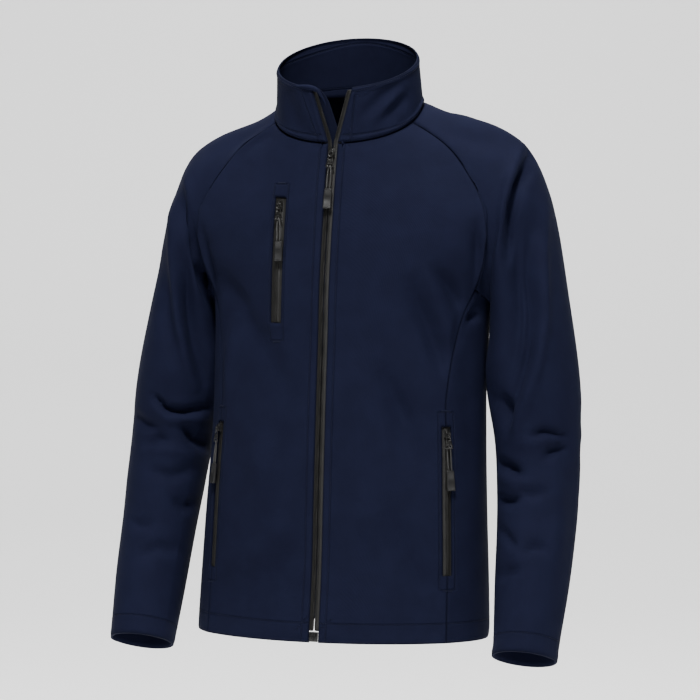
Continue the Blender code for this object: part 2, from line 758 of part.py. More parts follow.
def build_main_zip(tape, metal):
    coil_out = -FRONT_COLUMNS[0] + SEAM_GAP
    offsets = (
        coil_out, coil_out + COIL_HALF_WIDTH, coil_out + COIL_HALF_WIDTH + COIL_STEP,
        TAPE_HALF_WIDTH - FRONT_COLUMNS[0],
    )
    depths = np.array((COIL_DEPTH, COIL_DEPTH, TAPE_DEPTH, TAPE_DEPTH))
    points, ways = main_zip_lattice(offsets)
    outer = points + ways * depths[None, :, None]
    inner = points + ways * ZIP_BACK
    wall("zip_tape_left", tape, outer, inner)
    wall("zip_tape_right", tape, mirrored(outer), mirrored(inner))

    low, high = HEM + 0.0010, HEM + BOX_HEIGHT - 4 * SEAM_GAP
    xs, ys, zs = (-0.0058, 0.0058), (0.0002, ZIP_BACK), (low, high)
    box = blocks(
        "zip_box", xs, ys, zs, lambda i, j, k: True,
        lambda x, y, z, key: (x, trunk_y(0.0, z) + y, z),
    )
    add_object("zip_box", box, metal)


def build_storm_flap(navy):
    """The flap behind the right tape, which shows in the open neck, with its chin guard."""
    offsets = (-0.0190, -0.0125, -0.0065, 0.0000, 0.0060)
    levels = (-0.30, 0.0, 0.25, 0.5, 0.75, 1.0)
    depth = ZIP_BACK + 2 * SEAM_GAP
    rows = []
    for v in levels:
        opening = FRONT_COLUMNS[0] + (COLLAR_OPENING - FRONT_COLUMNS[0]) * max(v, 0)
        width = NECK_HALF_WIDTH + (COLLAR_HALF_WIDTH - NECK_HALF_WIDTH) * max(v, 0)
        row = []
        for offset in offsets:
            x = opening + offset
            if v < 0:
                z = FRONT_NECK + v * 0.09
                row.append(np.array((x, trunk_y(x, z), z)))
            else:
                row.append(collar_round(math.asin(x / width), v))
        rows.append(row)
    outer = np.array(rows) + (0, depth, 0)
    inner = outer + (0, CLOTH * 0.8, 0)
    wall("storm_flap", navy, mirrored(outer), mirrored(inner))


def strip_along(place, heights):
    """Outer and back points of a closed zip behind a window: place(z, offset) is the cloth."""
    coil, half = COIL_HALF_WIDTH, TAPE_HALF_WIDTH - 0.0010
    offsets = (-half, -coil - COIL_STEP, -coil, coil, coil + COIL_STEP, half)
    coiled = np.array((TAPE_DEPTH, TAPE_DEPTH, COIL_DEPTH, COIL_DEPTH, TAPE_DEPTH, TAPE_DEPTH))
    bare = np.full(len(offsets), TAPE_DEPTH)
    low, high = heights[0], heights[-1]
    rows = [(low - ZIP_END, bare), (low + COIL_STEP, bare), (low + 2 * COIL_STEP, coiled)]
    rows += [(z, coiled) for z in heights[1:-1]]
    rows += [(high - 3 * COIL_STEP, coiled), (high - 2 * COIL_STEP, bare), (high + ZIP_END, bare)]
    outer, inner = [], []
    for z, depths in rows:
        row = np.array([place(z, offset) for offset in offsets])
        way = trunk_inward(place(z, 0.0))
        outer.append(row + np.outer(depths, way))
        inner.append(row + way * ZIP_BACK)
    return np.array(outer), np.array(inner)


def build_pocket_zips(tape):

    def on_seam(z, offset):
        return trunk_round(seam_angle(z, "front", offset), z)

    heights = [LOW_ROWS[r] for r in POCKET_ROWS] + [POCKET_TOP]
    outer, inner = strip_along(on_seam, heights)
    wall("pocket_zip_left", tape, outer, inner)
    wall("pocket_zip_right", tape, mirrored(outer), mirrored(inner))

    middle = (CHEST_ZIP_INNER + CHEST_ZIP_OUTER) / 2

    def on_chest(z, offset):
        return np.array((middle + offset, trunk_y(middle + offset, z), z))

    heights = [z for z in LOW_ROWS if z > CHEST_ZIP_BOTTOM - 1e-6]
    heights += [rise.front_centre for rise in RISES[1:5]]
    outer, inner = strip_along(on_chest, heights)
    wall("pocket_zip_chest", tape, mirrored(outer), mirrored(inner))


def pull_frame(place, z, drop):
    """The hinge of a pull that hangs along the cloth: origin, axis, out and up directions."""
    start, end = place(z), place(z - drop)
    down = (end - start) / np.linalg.norm(end - start)
    out = -trunk_inward(start)
    out -= down * (out @ down)
    out /= np.linalg.norm(out)
    return start + out * PULL_AXIS_HEIGHT, np.cross(down, out), out, -down


def build_pulls(metal, rubber):
    """Four sliders, and four pulls that hinge on their bridges."""
    slider = blocks(
        "slider", SLIDER_ACROSS, SLIDER_OUT, SLIDER_ALONG,
        lambda i, j, k: j == 0 or (i == 1 and (k in (1, 3) if j == 1 else k in (1, 2, 3))),
        lambda x, y, z, key: (x, y, z),
    )
    downs = [section.down for section in PULL][::-1]

    def pull_place(x, y, z, key):
        section = PULL[len(PULL) - 1 - key[2]]
        return (x * section.half_width, y * section.half_thick, -z)

    pull = blocks(
        "pull", (-1, -PULL_EYE, PULL_EYE, 1), (-1, 1), downs,
        lambda i, j, k: not (i == 1 and k == len(PULL) - 3),
        pull_place,
    )
    length = PULL[-1].down

    def on_zip(z):
        return np.array((0.0, trunk_y(0.0, z), z))

    def on_chest(z):
        x = -(CHEST_ZIP_INNER + CHEST_ZIP_OUTER) / 2
        return np.array((x, trunk_y(x, z), z))

    def on_left(z):
        return trunk_round(seam_angle(z, "front"), z)

    def on_right(z):
        return mirrored(on_left(z))

    hung = (
        ("main", on_zip, MAIN_SLIDER_HEIGHT),
        ("chest", on_chest, CHEST_ZIP_TOP - CHEST_SLIDER_DROP),
        ("left", on_left, POCKET_TOP - POCKET_SLIDER_DROP),
        ("right", on_right, POCKET_TOP - POCKET_SLIDER_DROP),
    )
    for name, place, z in hung:
        origin, axis, out, up = pull_frame(place, z, length)
        turn = np.eye(4)
        turn[:3, 0], turn[:3, 1], turn[:3, 2], turn[:3, 3] = axis, out, up, origin
        for kind, mesh, finish in (("slider", slider, metal), ("pull", pull, rubber)):
            obj = add_object(f"{kind}_{name}", mesh, finish)
            obj.matrix_world = Matrix(turn)


def main():
    clear_scene()
    navy = material("navy softshell", (0.011, 0.017, 0.052), 0.85)
    tape = material("zip tape", (0.035, 0.033, 0.031), 0.60)
    metal = material("painted zip metal", (0.030, 0.030, 0.031), 0.40, 0.8)
    rubber = material("moulded pull", (0.060, 0.060, 0.062), 0.50)
    build_trunk_and_sleeves(navy)
    build_collar(navy)
    build_storm_flap(navy)
    build_main_zip(tape, metal)
    build_pocket_zips(tape)
    build_pulls(metal, rubber)


main()
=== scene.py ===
# %% [markdown]
# # A softshell jacket, as worn
# The imported model gives every panel of the jacket its place and form, as plain thin walls.
# This notebook turns those walls into cloth: it smooths them, lays in the folds, rolls the
# cut edges into the seams, and adds the sewing, the zips and their pulls.

# %% Load the imported jacket
import math

import bmesh
import bpy
import numpy as np
from mathutils import Matrix, Vector
from mathutils.bvhtree import BVHTree
from mathutils.kdtree import KDTree
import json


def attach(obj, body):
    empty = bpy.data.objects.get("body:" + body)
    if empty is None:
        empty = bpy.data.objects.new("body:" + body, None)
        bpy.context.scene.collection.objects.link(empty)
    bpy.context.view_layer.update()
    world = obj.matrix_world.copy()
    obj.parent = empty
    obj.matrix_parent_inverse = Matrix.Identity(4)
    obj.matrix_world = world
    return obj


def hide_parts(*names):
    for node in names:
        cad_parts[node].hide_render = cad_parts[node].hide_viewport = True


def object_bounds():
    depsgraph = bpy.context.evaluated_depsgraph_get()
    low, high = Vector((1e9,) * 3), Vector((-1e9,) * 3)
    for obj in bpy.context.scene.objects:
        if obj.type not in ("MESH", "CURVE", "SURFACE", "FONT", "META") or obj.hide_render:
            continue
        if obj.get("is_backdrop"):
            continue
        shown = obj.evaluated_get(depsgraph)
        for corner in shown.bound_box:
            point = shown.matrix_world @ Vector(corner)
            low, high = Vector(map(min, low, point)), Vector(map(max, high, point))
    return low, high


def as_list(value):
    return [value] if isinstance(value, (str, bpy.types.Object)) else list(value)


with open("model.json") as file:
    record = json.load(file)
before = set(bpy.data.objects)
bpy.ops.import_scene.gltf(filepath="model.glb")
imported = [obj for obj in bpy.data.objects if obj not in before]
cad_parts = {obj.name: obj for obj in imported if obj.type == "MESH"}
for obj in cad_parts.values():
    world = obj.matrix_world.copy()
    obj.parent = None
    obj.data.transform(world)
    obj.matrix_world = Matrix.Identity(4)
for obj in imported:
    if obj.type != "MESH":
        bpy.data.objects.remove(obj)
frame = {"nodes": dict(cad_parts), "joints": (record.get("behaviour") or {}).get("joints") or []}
cad_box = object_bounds()

# %% [markdown]
# ## The camera
# The photograph looks at the jacket from the wearer's left of straight ahead, 19 degrees round,
# and from 4.8 m away. The camera stands level with the shoulders and looks down a little.

# %% Camera
LOOK_ROUND = math.radians(19)
DISTANCE = 4.8
EYE_HEIGHT = -0.058
AIM_HEIGHT = -0.3285
SIDE_STEP = 0.0068
SENSOR_MM = 36
LENS_MM = 183.2
# The photograph's pixel that lies straight ahead, and its focal length in pixels
AHEAD_X, AHEAD_Y = 345, 150
FOCAL_PIXELS = 3552
to_the_right = Vector((math.cos(LOOK_ROUND), math.sin(LOOK_ROUND), 0))
into_the_scene = Vector((-math.sin(LOOK_ROUND), math.cos(LOOK_ROUND), 0))
eye = Vector((0, 0, EYE_HEIGHT)) - into_the_scene * DISTANCE + to_the_right * SIDE_STEP
aim = Vector((0, 0, AIM_HEIGHT)) + to_the_right * SIDE_STEP
camera_data = bpy.data.cameras.new("camera")
camera_data.sensor_width = SENSOR_MM
camera_data.lens = LENS_MM
camera = bpy.data.objects.new("camera", camera_data)
camera.location = eye
camera.rotation_euler = (aim - eye).to_track_quat("-Z", "Y").to_euler()
bpy.context.scene.collection.objects.link(camera)
bpy.context.scene.camera = camera
print("camera at", [round(v, 3) for v in camera.location])


# %% [markdown]
# ## Shader sums as Python
# Every finish is a handful of nodes. Writing them as expressions keeps each finish readable, so
# one small class wraps a socket and turns the usual operators into Math nodes.

# %% A socket that can be added and multiplied
class Value:
    def __init__(self, finish, socket):
        self.finish = finish
        self.socket = socket

    def math(self, operation, *others, swapped=False):
        values = [self, *others]
        if swapped:
            values.reverse()
        return self.finish.node("ShaderNodeMath", {"operation": operation}, dict(enumerate(values)))

    def __add__(self, other):
        return self.math("ADD", other)

    __radd__ = __add__

    def __mul__(self, other):
        return self.math("MULTIPLY", other)

    __rmul__ = __mul__

    def __sub__(self, other):
        return self.math("SUBTRACT", other)

    def __rsub__(self, other):
        return self.math("SUBTRACT", other, swapped=True)

    def __abs__(self):
        return self.math("ABSOLUTE")

    def sin(self):
        return self.math("SINE")

    def within(self, low, high):
        return self.finish.node(
            "ShaderNodeMapRange", {"interpolation_type": "SMOOTHSTEP"},
            {"Value": self, "From Min": low, "From Max": high},
        )

    def bell(self, width):
        """1 at zero, fading to 0 at width on either side."""
        return 1 - abs(self).within(0.0, width)


# %% A finish: a material and its nodes
class Finish:
    def __init__(self, name, **values):
        self.material = bpy.data.materials.new(name)
        self.material.use_nodes = True
        self.tree = self.material.node_tree
        self.shader = self.tree.nodes["Principled BSDF"]
        self.set(**values)

    def set(self, **values):
        for name, value in values.items():
            self.plug(self.shader.inputs[name.replace("_", " ")], value)

    def plug(self, socket, value):
        if isinstance(value, Value):
            self.tree.links.new(value.socket, socket)
        elif hasattr(value, "__len__") and len(value) == 3 and len(socket.default_value) == 4:
            socket.default_value = (*value, 1)
        else:
            socket.default_value = value

    def node(self, kind, settings, inputs, output=0):
        made = self.tree.nodes.new(kind)
        for name, value in settings.items():
            setattr(made, name, value)
        for name, value in inputs.items():
            self.plug(made.inputs[name], value)
        return Value(self, made.outputs[output])

    def place(self):
        return self.node("ShaderNodeTexCoord", {}, {}, "Object")

    def axis(self, name):
        return self.node("ShaderNodeSeparateXYZ", {}, {"Vector": self.place()}, name)

    def attribute(self, name):
        return self.node("ShaderNodeAttribute", {"attribute_name": name}, {}, "Fac")

    def noise(self, scale, detail=3.0, roughness=0.55):
        return self.node(
            "ShaderNodeTexNoise", {},
            {"Vector": self.place(), "Scale": scale, "Detail": detail, "Roughness": roughness},
        )

    def mix(self, share, one, other):
        settings = {"data_type": "RGBA"}
        return self.node("ShaderNodeMix", settings, {"Factor": share, 6: one, 7: other}, 2)

    def bump(self, height, depth, under=None):
        """Relief that is depth metres deep where height is 1."""
        inputs = {"Strength": 1.0, "Distance": depth, "Height": height}
        if under is not None:
            inputs["Normal"] = under
        return self.node("ShaderNodeBump", {}, inputs)


# %% [markdown]
# ## The finishes
# Softshell is a tight stretch weave bonded to fleece. It is matt, with a soft sheen at glancing
# angles, and its weave is a fraction of a millimetre, so it is only just seen. Three numbers are
# kept on the cloth's points: how far each is to one side of the nearest row of sewing, how far from
# it whichever the side, and how far from the nearest cut edge. The finish presses a groove along
# the sewing, and paints shade into that groove and along the cut edges, where the seams sink.

# %% Softshell
NAVY = (0.0062, 0.0074, 0.0205)
NAVY_LIGHT = (0.0068, 0.0082, 0.0222)
WEAVE = 0.00085
GROOVE = 0.0026
PUCKER = 0.0075
# How far from a cut edge the painted shade reaches
EDGE = 0.0028


def shade(colour, share):
    return tuple(part * share for part in colour)


def softshell_finish():
    finish = Finish("softshell navy", Specular_IOR_Level=0.035)
    finish.set(Sheen_Weight=0.010, Sheen_Roughness=0.5, Sheen_Tint=(0.45, 0.52, 0.9))
    x, y, z = (finish.axis(n) for n in "XYZ")
    thread = 2 * math.pi / WEAVE
    weave = ((x * thread).sin() + (y * thread).sin()) * 0.25 + (z * thread).sin() * 0.5
    patches = finish.noise(34.0, 4.0)
    seam = finish.attribute("sewing_distance")
    close = 1 - finish.attribute("sewing_near").within(0.006, 0.011)
    groove = seam.bell(GROOVE) * close
    beside = seam.bell(PUCKER) * close
    pucker = finish.noise(150.0, 2.0)
    # Mask of the painted shade near the cut edges: 1 at the edge, fading to 0 at EDGE
    edge = 1 - finish.attribute("edge_distance").within(0.0, EDGE)
    tone = finish.mix(patches.within(0.30, 0.72), shade(NAVY, 0.94), NAVY_LIGHT)
    # Painted shade: the colour darkens in the sewing's groove and near the cut edges
    tone = finish.mix(groove * 0.28, tone, shade(NAVY, 0.35))
    tone = finish.mix(edge * 0.45, tone, shade(NAVY, 0.30))
    finish.set(Base_Color=tone)
    fine = finish.bump(weave, 0.00010)
    soft = finish.bump(patches, 0.0006, fine)
    sewn = finish.bump(1 - groove + beside * pucker * 0.6, 0.0007, soft)
    finish.set(Normal=sewn, Roughness=0.74 + patches * 0.10)
    return finish.material


softshell = softshell_finish()
print("finish:", softshell.name)

# %% Sewing thread
def twisted(finish, pitch, lean):
    """A wave that climbs a thread once every pitch, and leans across it."""
    return (finish.axis("Z") * (2 * math.pi / pitch) + finish.axis("X") * lean).sin()


# THREAD_DARK and THREAD_LIGHT are the thread's painted shade and painted highlight
THREAD_DARK, THREAD_LIGHT = (0.0020, 0.0030, 0.0130), (0.0036, 0.0054, 0.0230)
# TAPE_DARK and TAPE_LIGHT: painted shade between the coil's ribs and painted highlight on them, mixed with
# random speckle
TAPE_DARK, TAPE_LIGHT = (0.0034, 0.0033, 0.0031), (0.0170, 0.0165, 0.0156)
METAL_DARK, METAL_LIGHT = (0.028, 0.028, 0.029), (0.084, 0.083, 0.080)
GRIP_DARK, GRIP_LIGHT = (0.0080, 0.0080, 0.0083), (0.0140, 0.0140, 0.0143)
# CORD_DARK and CORD_LIGHT are the cord's painted shade and painted highlight
CORD_DARK, CORD_LIGHT = (0.0050, 0.0050, 0.0053), (0.020, 0.0196, 0.0190)
thread_finish = Finish("navy sewing thread", Roughness=0.6, Specular_IOR_Level=0.15)
twist = twisted(thread_finish, 0.0007, 3000)
thread_finish.set(
    # Painted shade in the twist's grooves and painted highlight on its ridges, on the same wave as the bump
    Base_Color=thread_finish.mix(twist.within(-1, 1), THREAD_DARK, THREAD_LIGHT),
    Normal=thread_finish.bump(twist, 0.00008),
)
print("finish:", thread_finish.material.name)

# %% [markdown]
# The zips are of the kind with the coil behind, so the face shows two woven tapes that meet. Fine
# ribs cross the tape at every turn of the coil behind it, and each tape has a few lengthwise cords.

# %% Zip tape
tape_finish = Finish("zip tape", Roughness=0.50, Specular_IOR_Level=0.16, Sheen_Weight=0.01)
turn = (tape_finish.axis("Z") * (2 * math.pi / 0.0014)).sin()
speckle = tape_finish.noise(900.0, 2.0)
worn = tape_finish.noise(25.0, 3.0)
tape_finish.set(
    # Painted shade between the ribs and painted highlight on them, on the same wave as the bump; the
    # speckle is random tone
    Base_Color=tape_finish.mix(turn.within(-1, 1) * 0.5 + speckle * 0.5, TAPE_DARK, TAPE_LIGHT),
    Roughness=0.40 + worn * 0.25,
    Normal=tape_finish.bump(turn * 0.6 + speckle * 0.4, 0.00022),
)

# %% Painted metal and moulded grip
metal_finish = Finish("dark plated zip metal", Metallic=0.9, Coat_Weight=0.15, Coat_Roughness=0.2)
scuffs = metal_finish.noise(420.0, 3.0)
metal_finish.set(
    Base_Color=metal_finish.mix(scuffs.within(0.35, 0.7), METAL_DARK, METAL_LIGHT),
    Roughness=0.26 + scuffs * 0.16,
    Normal=metal_finish.bump(scuffs, 0.00005),
)
grip_finish = Finish("moulded grey grip", Roughness=0.42, Specular_IOR_Level=0.35)
grain = grip_finish.noise(1400.0, 2.0)
grip_finish.set(
    Base_Color=grip_finish.mix(grain.within(0.3, 0.7), GRIP_DARK, GRIP_LIGHT),
    Roughness=0.36 + grain * 0.14,
    Normal=grip_finish.bump(grain, 0.00006),
)
cord_finish = Finish("braided pull cord", Roughness=0.6, Sheen_Weight=0.05)
braid = twisted(cord_finish, 0.0011, 4200)
cord_finish.set(
    # Painted shade in the braid's grooves and painted highlight on its ridges, on the same wave as the bump
    Base_Color=cord_finish.mix(braid.within(-1, 1), CORD_DARK, CORD_LIGHT),
    Normal=cord_finish.bump(braid, 0.00015),
)
print("finishes:", len(bpy.data.materials))


# %% [markdown]
# ## From wall to cloth
# A CAD node's mesh is loose triangles. A copy is merged and turned back into quads, its sharp
# edges are creased, and a Subdivision Surface rounds the rest. The two faces of the cloth are
# told apart by a number on the points, 1 on the outside, because folds are worked out on the
# outside and the inside follows, which keeps the cloth's thickness.

# %% Copy, merge and smooth a wall
# Points of a panel count as its outside where the number is above this
OUTSIDE = 0.999
SHARP_EDGE = math.radians(38)


def merged_copy(node):
    mesh = bmesh.new()
    mesh.from_mesh(frame["nodes"][node].data)
    bmesh.ops.remove_doubles(mesh, verts=mesh.verts, dist=1e-6)
    bmesh.ops.join_triangles(
        mesh, faces=mesh.faces, angle_face_threshold=math.radians(40),
        angle_shape_threshold=math.radians(80),
    )
    return mesh


def crease_sharp(mesh, angle):
    creases = mesh.edges.layers.float.new("crease_edge")
    sharp = set()
    for edge in mesh.edges:
        if edge.is_manifold and edge.calc_face_angle() > angle:
            edge[creases] = 1.0
            sharp.add(edge)
    return sharp


def largest_sides(mesh, sharp):
    """The mesh's faces in groups that sharp edges part, the largest area first."""
    left = set(mesh.faces)
    groups = []
    while left:
        face = left.pop()
        group, rim = [face], [face]
        while rim:
            for edge in rim.pop().edges:
                if edge in sharp:
                    continue
                for other in edge.link_faces:
                    if other in left:
                        left.remove(other)
                        group.append(other)
                        rim.append(other)
        groups.append(group)
    return sorted(groups, key=lambda group: -sum(face.calc_area() for face in group))


def placed(name, mesh, finish):
    """A bmesh becomes a smooth object at the origin."""
    data = bpy.data.meshes.new(name)
    mesh.to_mesh(data)
    mesh.free()
    data.materials.append(finish)
    for polygon in data.polygons:
        polygon.use_smooth = True
    obj = bpy.data.objects.new(name, data)
    bpy.context.scene.collection.objects.link(obj)
    return obj


def finished(name, mesh, finish, slot, body="jacket"):
    """The same, riding on its body. The slot is not used."""
    obj = placed(name, mesh, finish)
    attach(obj, body)
    return obj


def apply_modifiers(obj):
    """Swaps the object's mesh for the one its modifiers give."""
    graph = bpy.context.evaluated_depsgraph_get()
    graph.update()
    data = bpy.data.meshes.new_from_object(
        obj.evaluated_get(graph), preserve_all_data_layers=True, depsgraph=graph
    )
    obj.modifiers.clear()
    old = obj.data
    obj.data = data
    bpy.data.meshes.remove(old)
    data.name = obj.name


def subdivide(obj, levels):
    modifier = obj.modifiers.new("smooth", "SUBSURF")
    modifier.levels = levels
    modifier.render_levels = levels
    apply_modifiers(obj)


PANELS = {
    "front_left": 3, "front_right": 3, "side_left": 3, "side_right": 3, "back": 3,
    "sleeve_left": 2, "sleeve_right": 2, "collar": 3, "storm_flap": 2,
}
cloth = {}
for node, levels in PANELS.items():
    wall = merged_copy(node)
    sharp = crease_sharp(wall, SHARP_EDGE)
    outer = largest_sides(wall, sharp)[0]
    side = wall.verts.layers.float.new("outside")
    for face in outer:
        for vert in face.verts:
            vert[side] = 1.0
    panel = finished(node + "_cloth", wall, softshell, "softshell")
    subdivide(panel, levels)
    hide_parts(node)
    cloth[node] = panel
print("panels:", {name: len(panel.data.polygons) for name, panel in cloth.items()})

# %% [markdown]
# ## Folds, placed one by one
# Softshell is stiff, so it holds a few long soft folds: they run from the armholes across the
# chest, hang down the fronts, and break over the elbows. Each is a stroke in the photograph's own
# pixels, with a half width in pixels, a height in millimetres, negative for a trough, and a lean
# that makes one flank steeper. Each kind of panel multiplies the heights, as FOLD_DEPTH says. The
# back has strokes of the same kind, in centimetres across and up, seen from behind.

# %% Strokes seen from the front
# (half width, height, points), or with the lean before the points
FRONT_STROKES = (
    # chest, wearer's left
    (9, -2.6, (409, 286), (428, 325), (446, 373)),
    (7, -2.0, (437, 269), (450, 288), (461, 311)),
    (8, 1.4, (424, 270), (444, 315), (456, 352)),
    (6, -3.2, (466, 322), (472, 316), (479, 309)),
    (10, -1.8, (380, 369), (396, 398), (409, 426)),
    (7, -3.0, (479, 228), (481, 262), (482, 300)),
    # fronts
    (15, -1.6, (390, 396), (408, 434), (424, 470)),
    (16, -1.7, (378, 512), (402, 558), (425, 598)),
    (13, 1.2, (362, 500), (385, 545), (404, 590)),
    (15, -1.6, (303, 546), (268, 575), (228, 602)),
    (14, 1.1, (296, 520), (262, 548), (226, 574)),
    (12, -1.3, (238, 316), (262, 345), (284, 392)),
    (14, 1.2, (250, 420), (262, 470), (262, 520)),
    (9, -1.4, (462, 360), (470, 420), (474, 480)),
    # chest, wearer's right
    (7, -3.0, (196, 226), (203, 258), (211, 300)),
    (9, -1.5, (216, 268), (238, 300), (252, 330)),
    (6, 1.6, (239, 311), (231, 350), (223, 410)),
    # collar
    (6, -1.5, (399, 82), (382, 98), (362, 118)),
    (6, -1.5, (408, 96), (396, 109), (384, 122)),
    (5, 1.1, (404, 88), (390, 103), (374, 119)),
    (7, -1.2, (286, 92), (292, 110), (302, 132)),
    # shoulders
    (9, -1.2, (440, 128), (470, 140), (506, 146)),
    (9, -1.0, (268, 132), (240, 142), (212, 158)),
    # sleeve, wearer's left
    (5, -5.5, 0.8, (531, 151), (519, 180), (510, 208), (503, 262)),
    (6, 1.8, (522, 150), (507, 184), (497, 222)),
    (5, 2.6, (547, 200), (543, 255), (544, 318), (539, 360), (526, 403), (512, 430)),
    (6, -5.4, (536, 226), (532, 280), (533, 318), (527, 356), (514, 394), (505, 414)),
    (13, -7.4, (521, 215), (519, 260), (516, 310), (510, 360), (502, 396)),
    (6, -5.0, (497, 396), (503, 414), (506, 430)),
    (3.6, -3.0, (530, 436), (545, 432), (566, 437)),
    (5, 1.6, (520, 444), (548, 440), (574, 448)),
    (4.5, -2.6, (544, 458), (556, 449), (570, 446)),
    (5, -4.2, (497, 462), (509, 468), (521, 474)),
    (5, 1.4, (500, 478), (514, 484), (530, 486)),
    (5, -3.6, (497, 500), (508, 502), (520, 498)),
    (5, -2.4, (518, 488), (532, 494), (546, 492)),
    (4.5, -2.6, (501, 530), (509, 540), (516, 546)),
    (5, -2.2, (524, 553), (536, 547), (548, 551)),
    (5, -2.4, (499, 579), (508, 572), (520, 570)),
    (9, 1.4, (552, 470), (560, 520), (556, 566)),
    # sleeve, wearer's right
    (5, -4.4, (179, 182), (187, 228), (198, 262), (208, 296)),
    (3.6, 2.4, (172, 200), (173, 260), (177, 317), (185, 357), (196, 388)),
    (7, -5.4, (184, 250), (189, 300), (197, 345), (206, 380)),
    (7, -2.4, (163, 262), (167, 318), (175, 362)),
    (3.4, -5.0, (154, 396), (165, 409), (184, 412), (207, 408)),
    (4.5, 1.8, (152, 404), (168, 420), (206, 420)),
    (5, -2.6, (131, 413), (143, 424), (160, 430)),
    (4.5, -3.2, (146, 444), (157, 438), (170, 440)),
    (6, -3.8, (186, 428), (196, 440), (208, 448)),
    (5, 1.4, (148, 452), (168, 450), (192, 456)),
    (6, -2.4, (150, 470), (172, 476), (196, 470)),
    (5, -2.0, (130, 520), (140, 526), (154, 522)),
    (6, -2.2, (172, 500), (184, 508), (196, 506)),
    (6, -1.8, (140, 556), (158, 548), (178, 552)),
)

# %% Strokes seen from behind
# (half width, height, points), in centimetres to the wearer's right and up
BACK_STROKES = (
    (1.8, -2.4, (19.0, -24.0), (14.0, -28.0), (8.5, -36.0)),
    (1.8, -2.4, (-19.0, -24.5), (-13.5, -29.0), (-8.0, -37.0)),
    (1.5, 1.4, (17.0, -20.0), (11.0, -25.0), (6.5, -33.0)),
    (1.5, 1.4, (-17.0, -21.0), (-11.0, -26.0), (-6.0, -34.0)),
    (2.2, -1.5, (10.0, -44.0), (12.5, -54.0), (13.0, -64.0)),
    (2.2, -1.5, (-9.0, -46.0), (-12.0, -55.0), (-13.5, -65.0)),
    (1.6, -1.6, (-8.0, -41.0), (0.0, -42.5), (9.0, -40.5)),
    (1.6, 1.2, (-7.0, -44.5), (0.5, -46.0), (8.0, -44.0)),
    (1.5, -1.3, (-5.0, -3.5), (0.0, -4.6), (5.0, -3.4)),
    # elbows and upper sleeves, wearer's right then left
    (1.1, -4.0, (20.5, -40.5), (25.0, -42.5), (31.0, -41.0)),
    (1.0, 1.8, (21.0, -42.8), (25.5, -44.8), (31.0, -43.4)),
    (1.1, -3.4, (22.0, -46.0), (26.0, -46.5), (31.5, -44.8)),
    (1.2, -2.6, (23.0, -50.5), (27.0, -49.5), (31.0, -50.5)),
    (1.3, -3.0, (19.5, -20.0), (21.0, -27.0), (23.5, -35.0)),
    (1.3, -2.0, (25.0, -18.0), (26.5, -26.0), (28.0, -34.0)),
    (1.1, -4.2, (-20.5, -41.5), (-25.5, -43.0), (-31.5, -41.5)),
    (1.0, 1.8, (-21.0, -44.0), (-25.5, -45.4), (-31.0, -44.0)),
    (1.1, -3.2, (-22.0, -47.5), (-26.5, -47.0), (-31.5, -46.0)),
    (1.2, -2.6, (-23.0, -52.0), (-27.0, -51.0), (-31.0, -52.0)),
    (1.3, -3.0, (-19.5, -20.5), (-21.5, -28.0), (-23.5, -36.0)),
    (1.3, -2.0, (-25.0, -17.0), (-27.0, -25.0), (-28.0, -33.0)),
)
print("strokes:", len(FRONT_STROKES), len(BACK_STROKES))


# %% Where a point of the cloth is, in a stroke's units
def in_photo(points):
    """The pixel of the photograph where each point appears."""
    across = points[:, 0] * to_the_right.x + points[:, 1] * to_the_right.y
    depth = DISTANCE + points[:, 0] * into_the_scene.x + points[:, 1] * into_the_scene.y
    up = points[:, 2] - EYE_HEIGHT
    return np.stack([AHEAD_X + FOCAL_PIXELS * across / depth, AHEAD_Y - FOCAL_PIXELS * up / depth], 1)


def from_behind(points):
    """Centimetres to the wearer's right and up."""
    return np.stack([-points[:, 0], points[:, 2]], 1) * 100


def stroke_height(places, stroke):
    """The height that a stroke gives at each place: a bell across it that fades at both ends."""
    marks = np.array([part for part in stroke if isinstance(part, tuple)], float)
    half_width, height, lean = (*stroke[:-len(marks)], 0.0)[:3]
    lengths = np.linalg.norm(np.diff(marks, axis=0), axis=1)
    before = np.concatenate([[0], np.cumsum(lengths)])
    nearest = np.full(len(places), 1e9)
    side = np.zeros(len(places))
    share = np.zeros(len(places))
    for i, length in enumerate(lengths):
        run = (marks[i + 1] - marks[i]) / length
        offset = places - marks[i]
        along = np.clip(offset @ run, 0, length)
        away = offset - along[:, None] * run
        distance = np.linalg.norm(away, axis=1)
        closer = distance < nearest
        nearest[closer] = distance[closer]
        side[closer] = (offset[closer, 0] * run[1] - offset[closer, 1] * run[0]) / half_width
        share[closer] = (before[i] + along[closer]) / before[-1]
    bell = np.exp(-((nearest / half_width) ** 2))
    fade = np.sin(np.pi * np.clip(share * 0.92 + 0.04, 0, 1)) ** 0.6
    return height * 0.001 * bell * fade * (1 + lean * np.clip(side, -1.5, 1.5))


# %% [markdown]
# ## Working a panel
# On each panel the outside points get the sum of the strokes, along the cloth's own normal, and
# sink a little within 3 mm of the cut edge, which makes the seam's groove. A long slow waver is
# added, because worn cloth is never quite even, and every fold fades out before the seam, so that
# neighbouring panels still meet. The inside points follow the nearest outside one.

# %% Read and write a mesh's points
def points_of(data):
    flat = np.empty(len(data.vertices) * 3)
    data.vertices.foreach_get("co", flat)
    return flat.reshape(-1, 3)


def write_number(data, name, values):
    data.attributes.new(name, "FLOAT", "POINT").data.foreach_set("value", values)


def outside_of(data):
    values = np.empty(len(data.vertices))
    data.attributes["outside"].data.foreach_get("value", values)
    return values


def quads_of(data):
    corners = np.empty(len(data.polygons) * 4, int)
    data.polygons.foreach_get("vertices", corners)
    return corners.reshape(-1, 4)


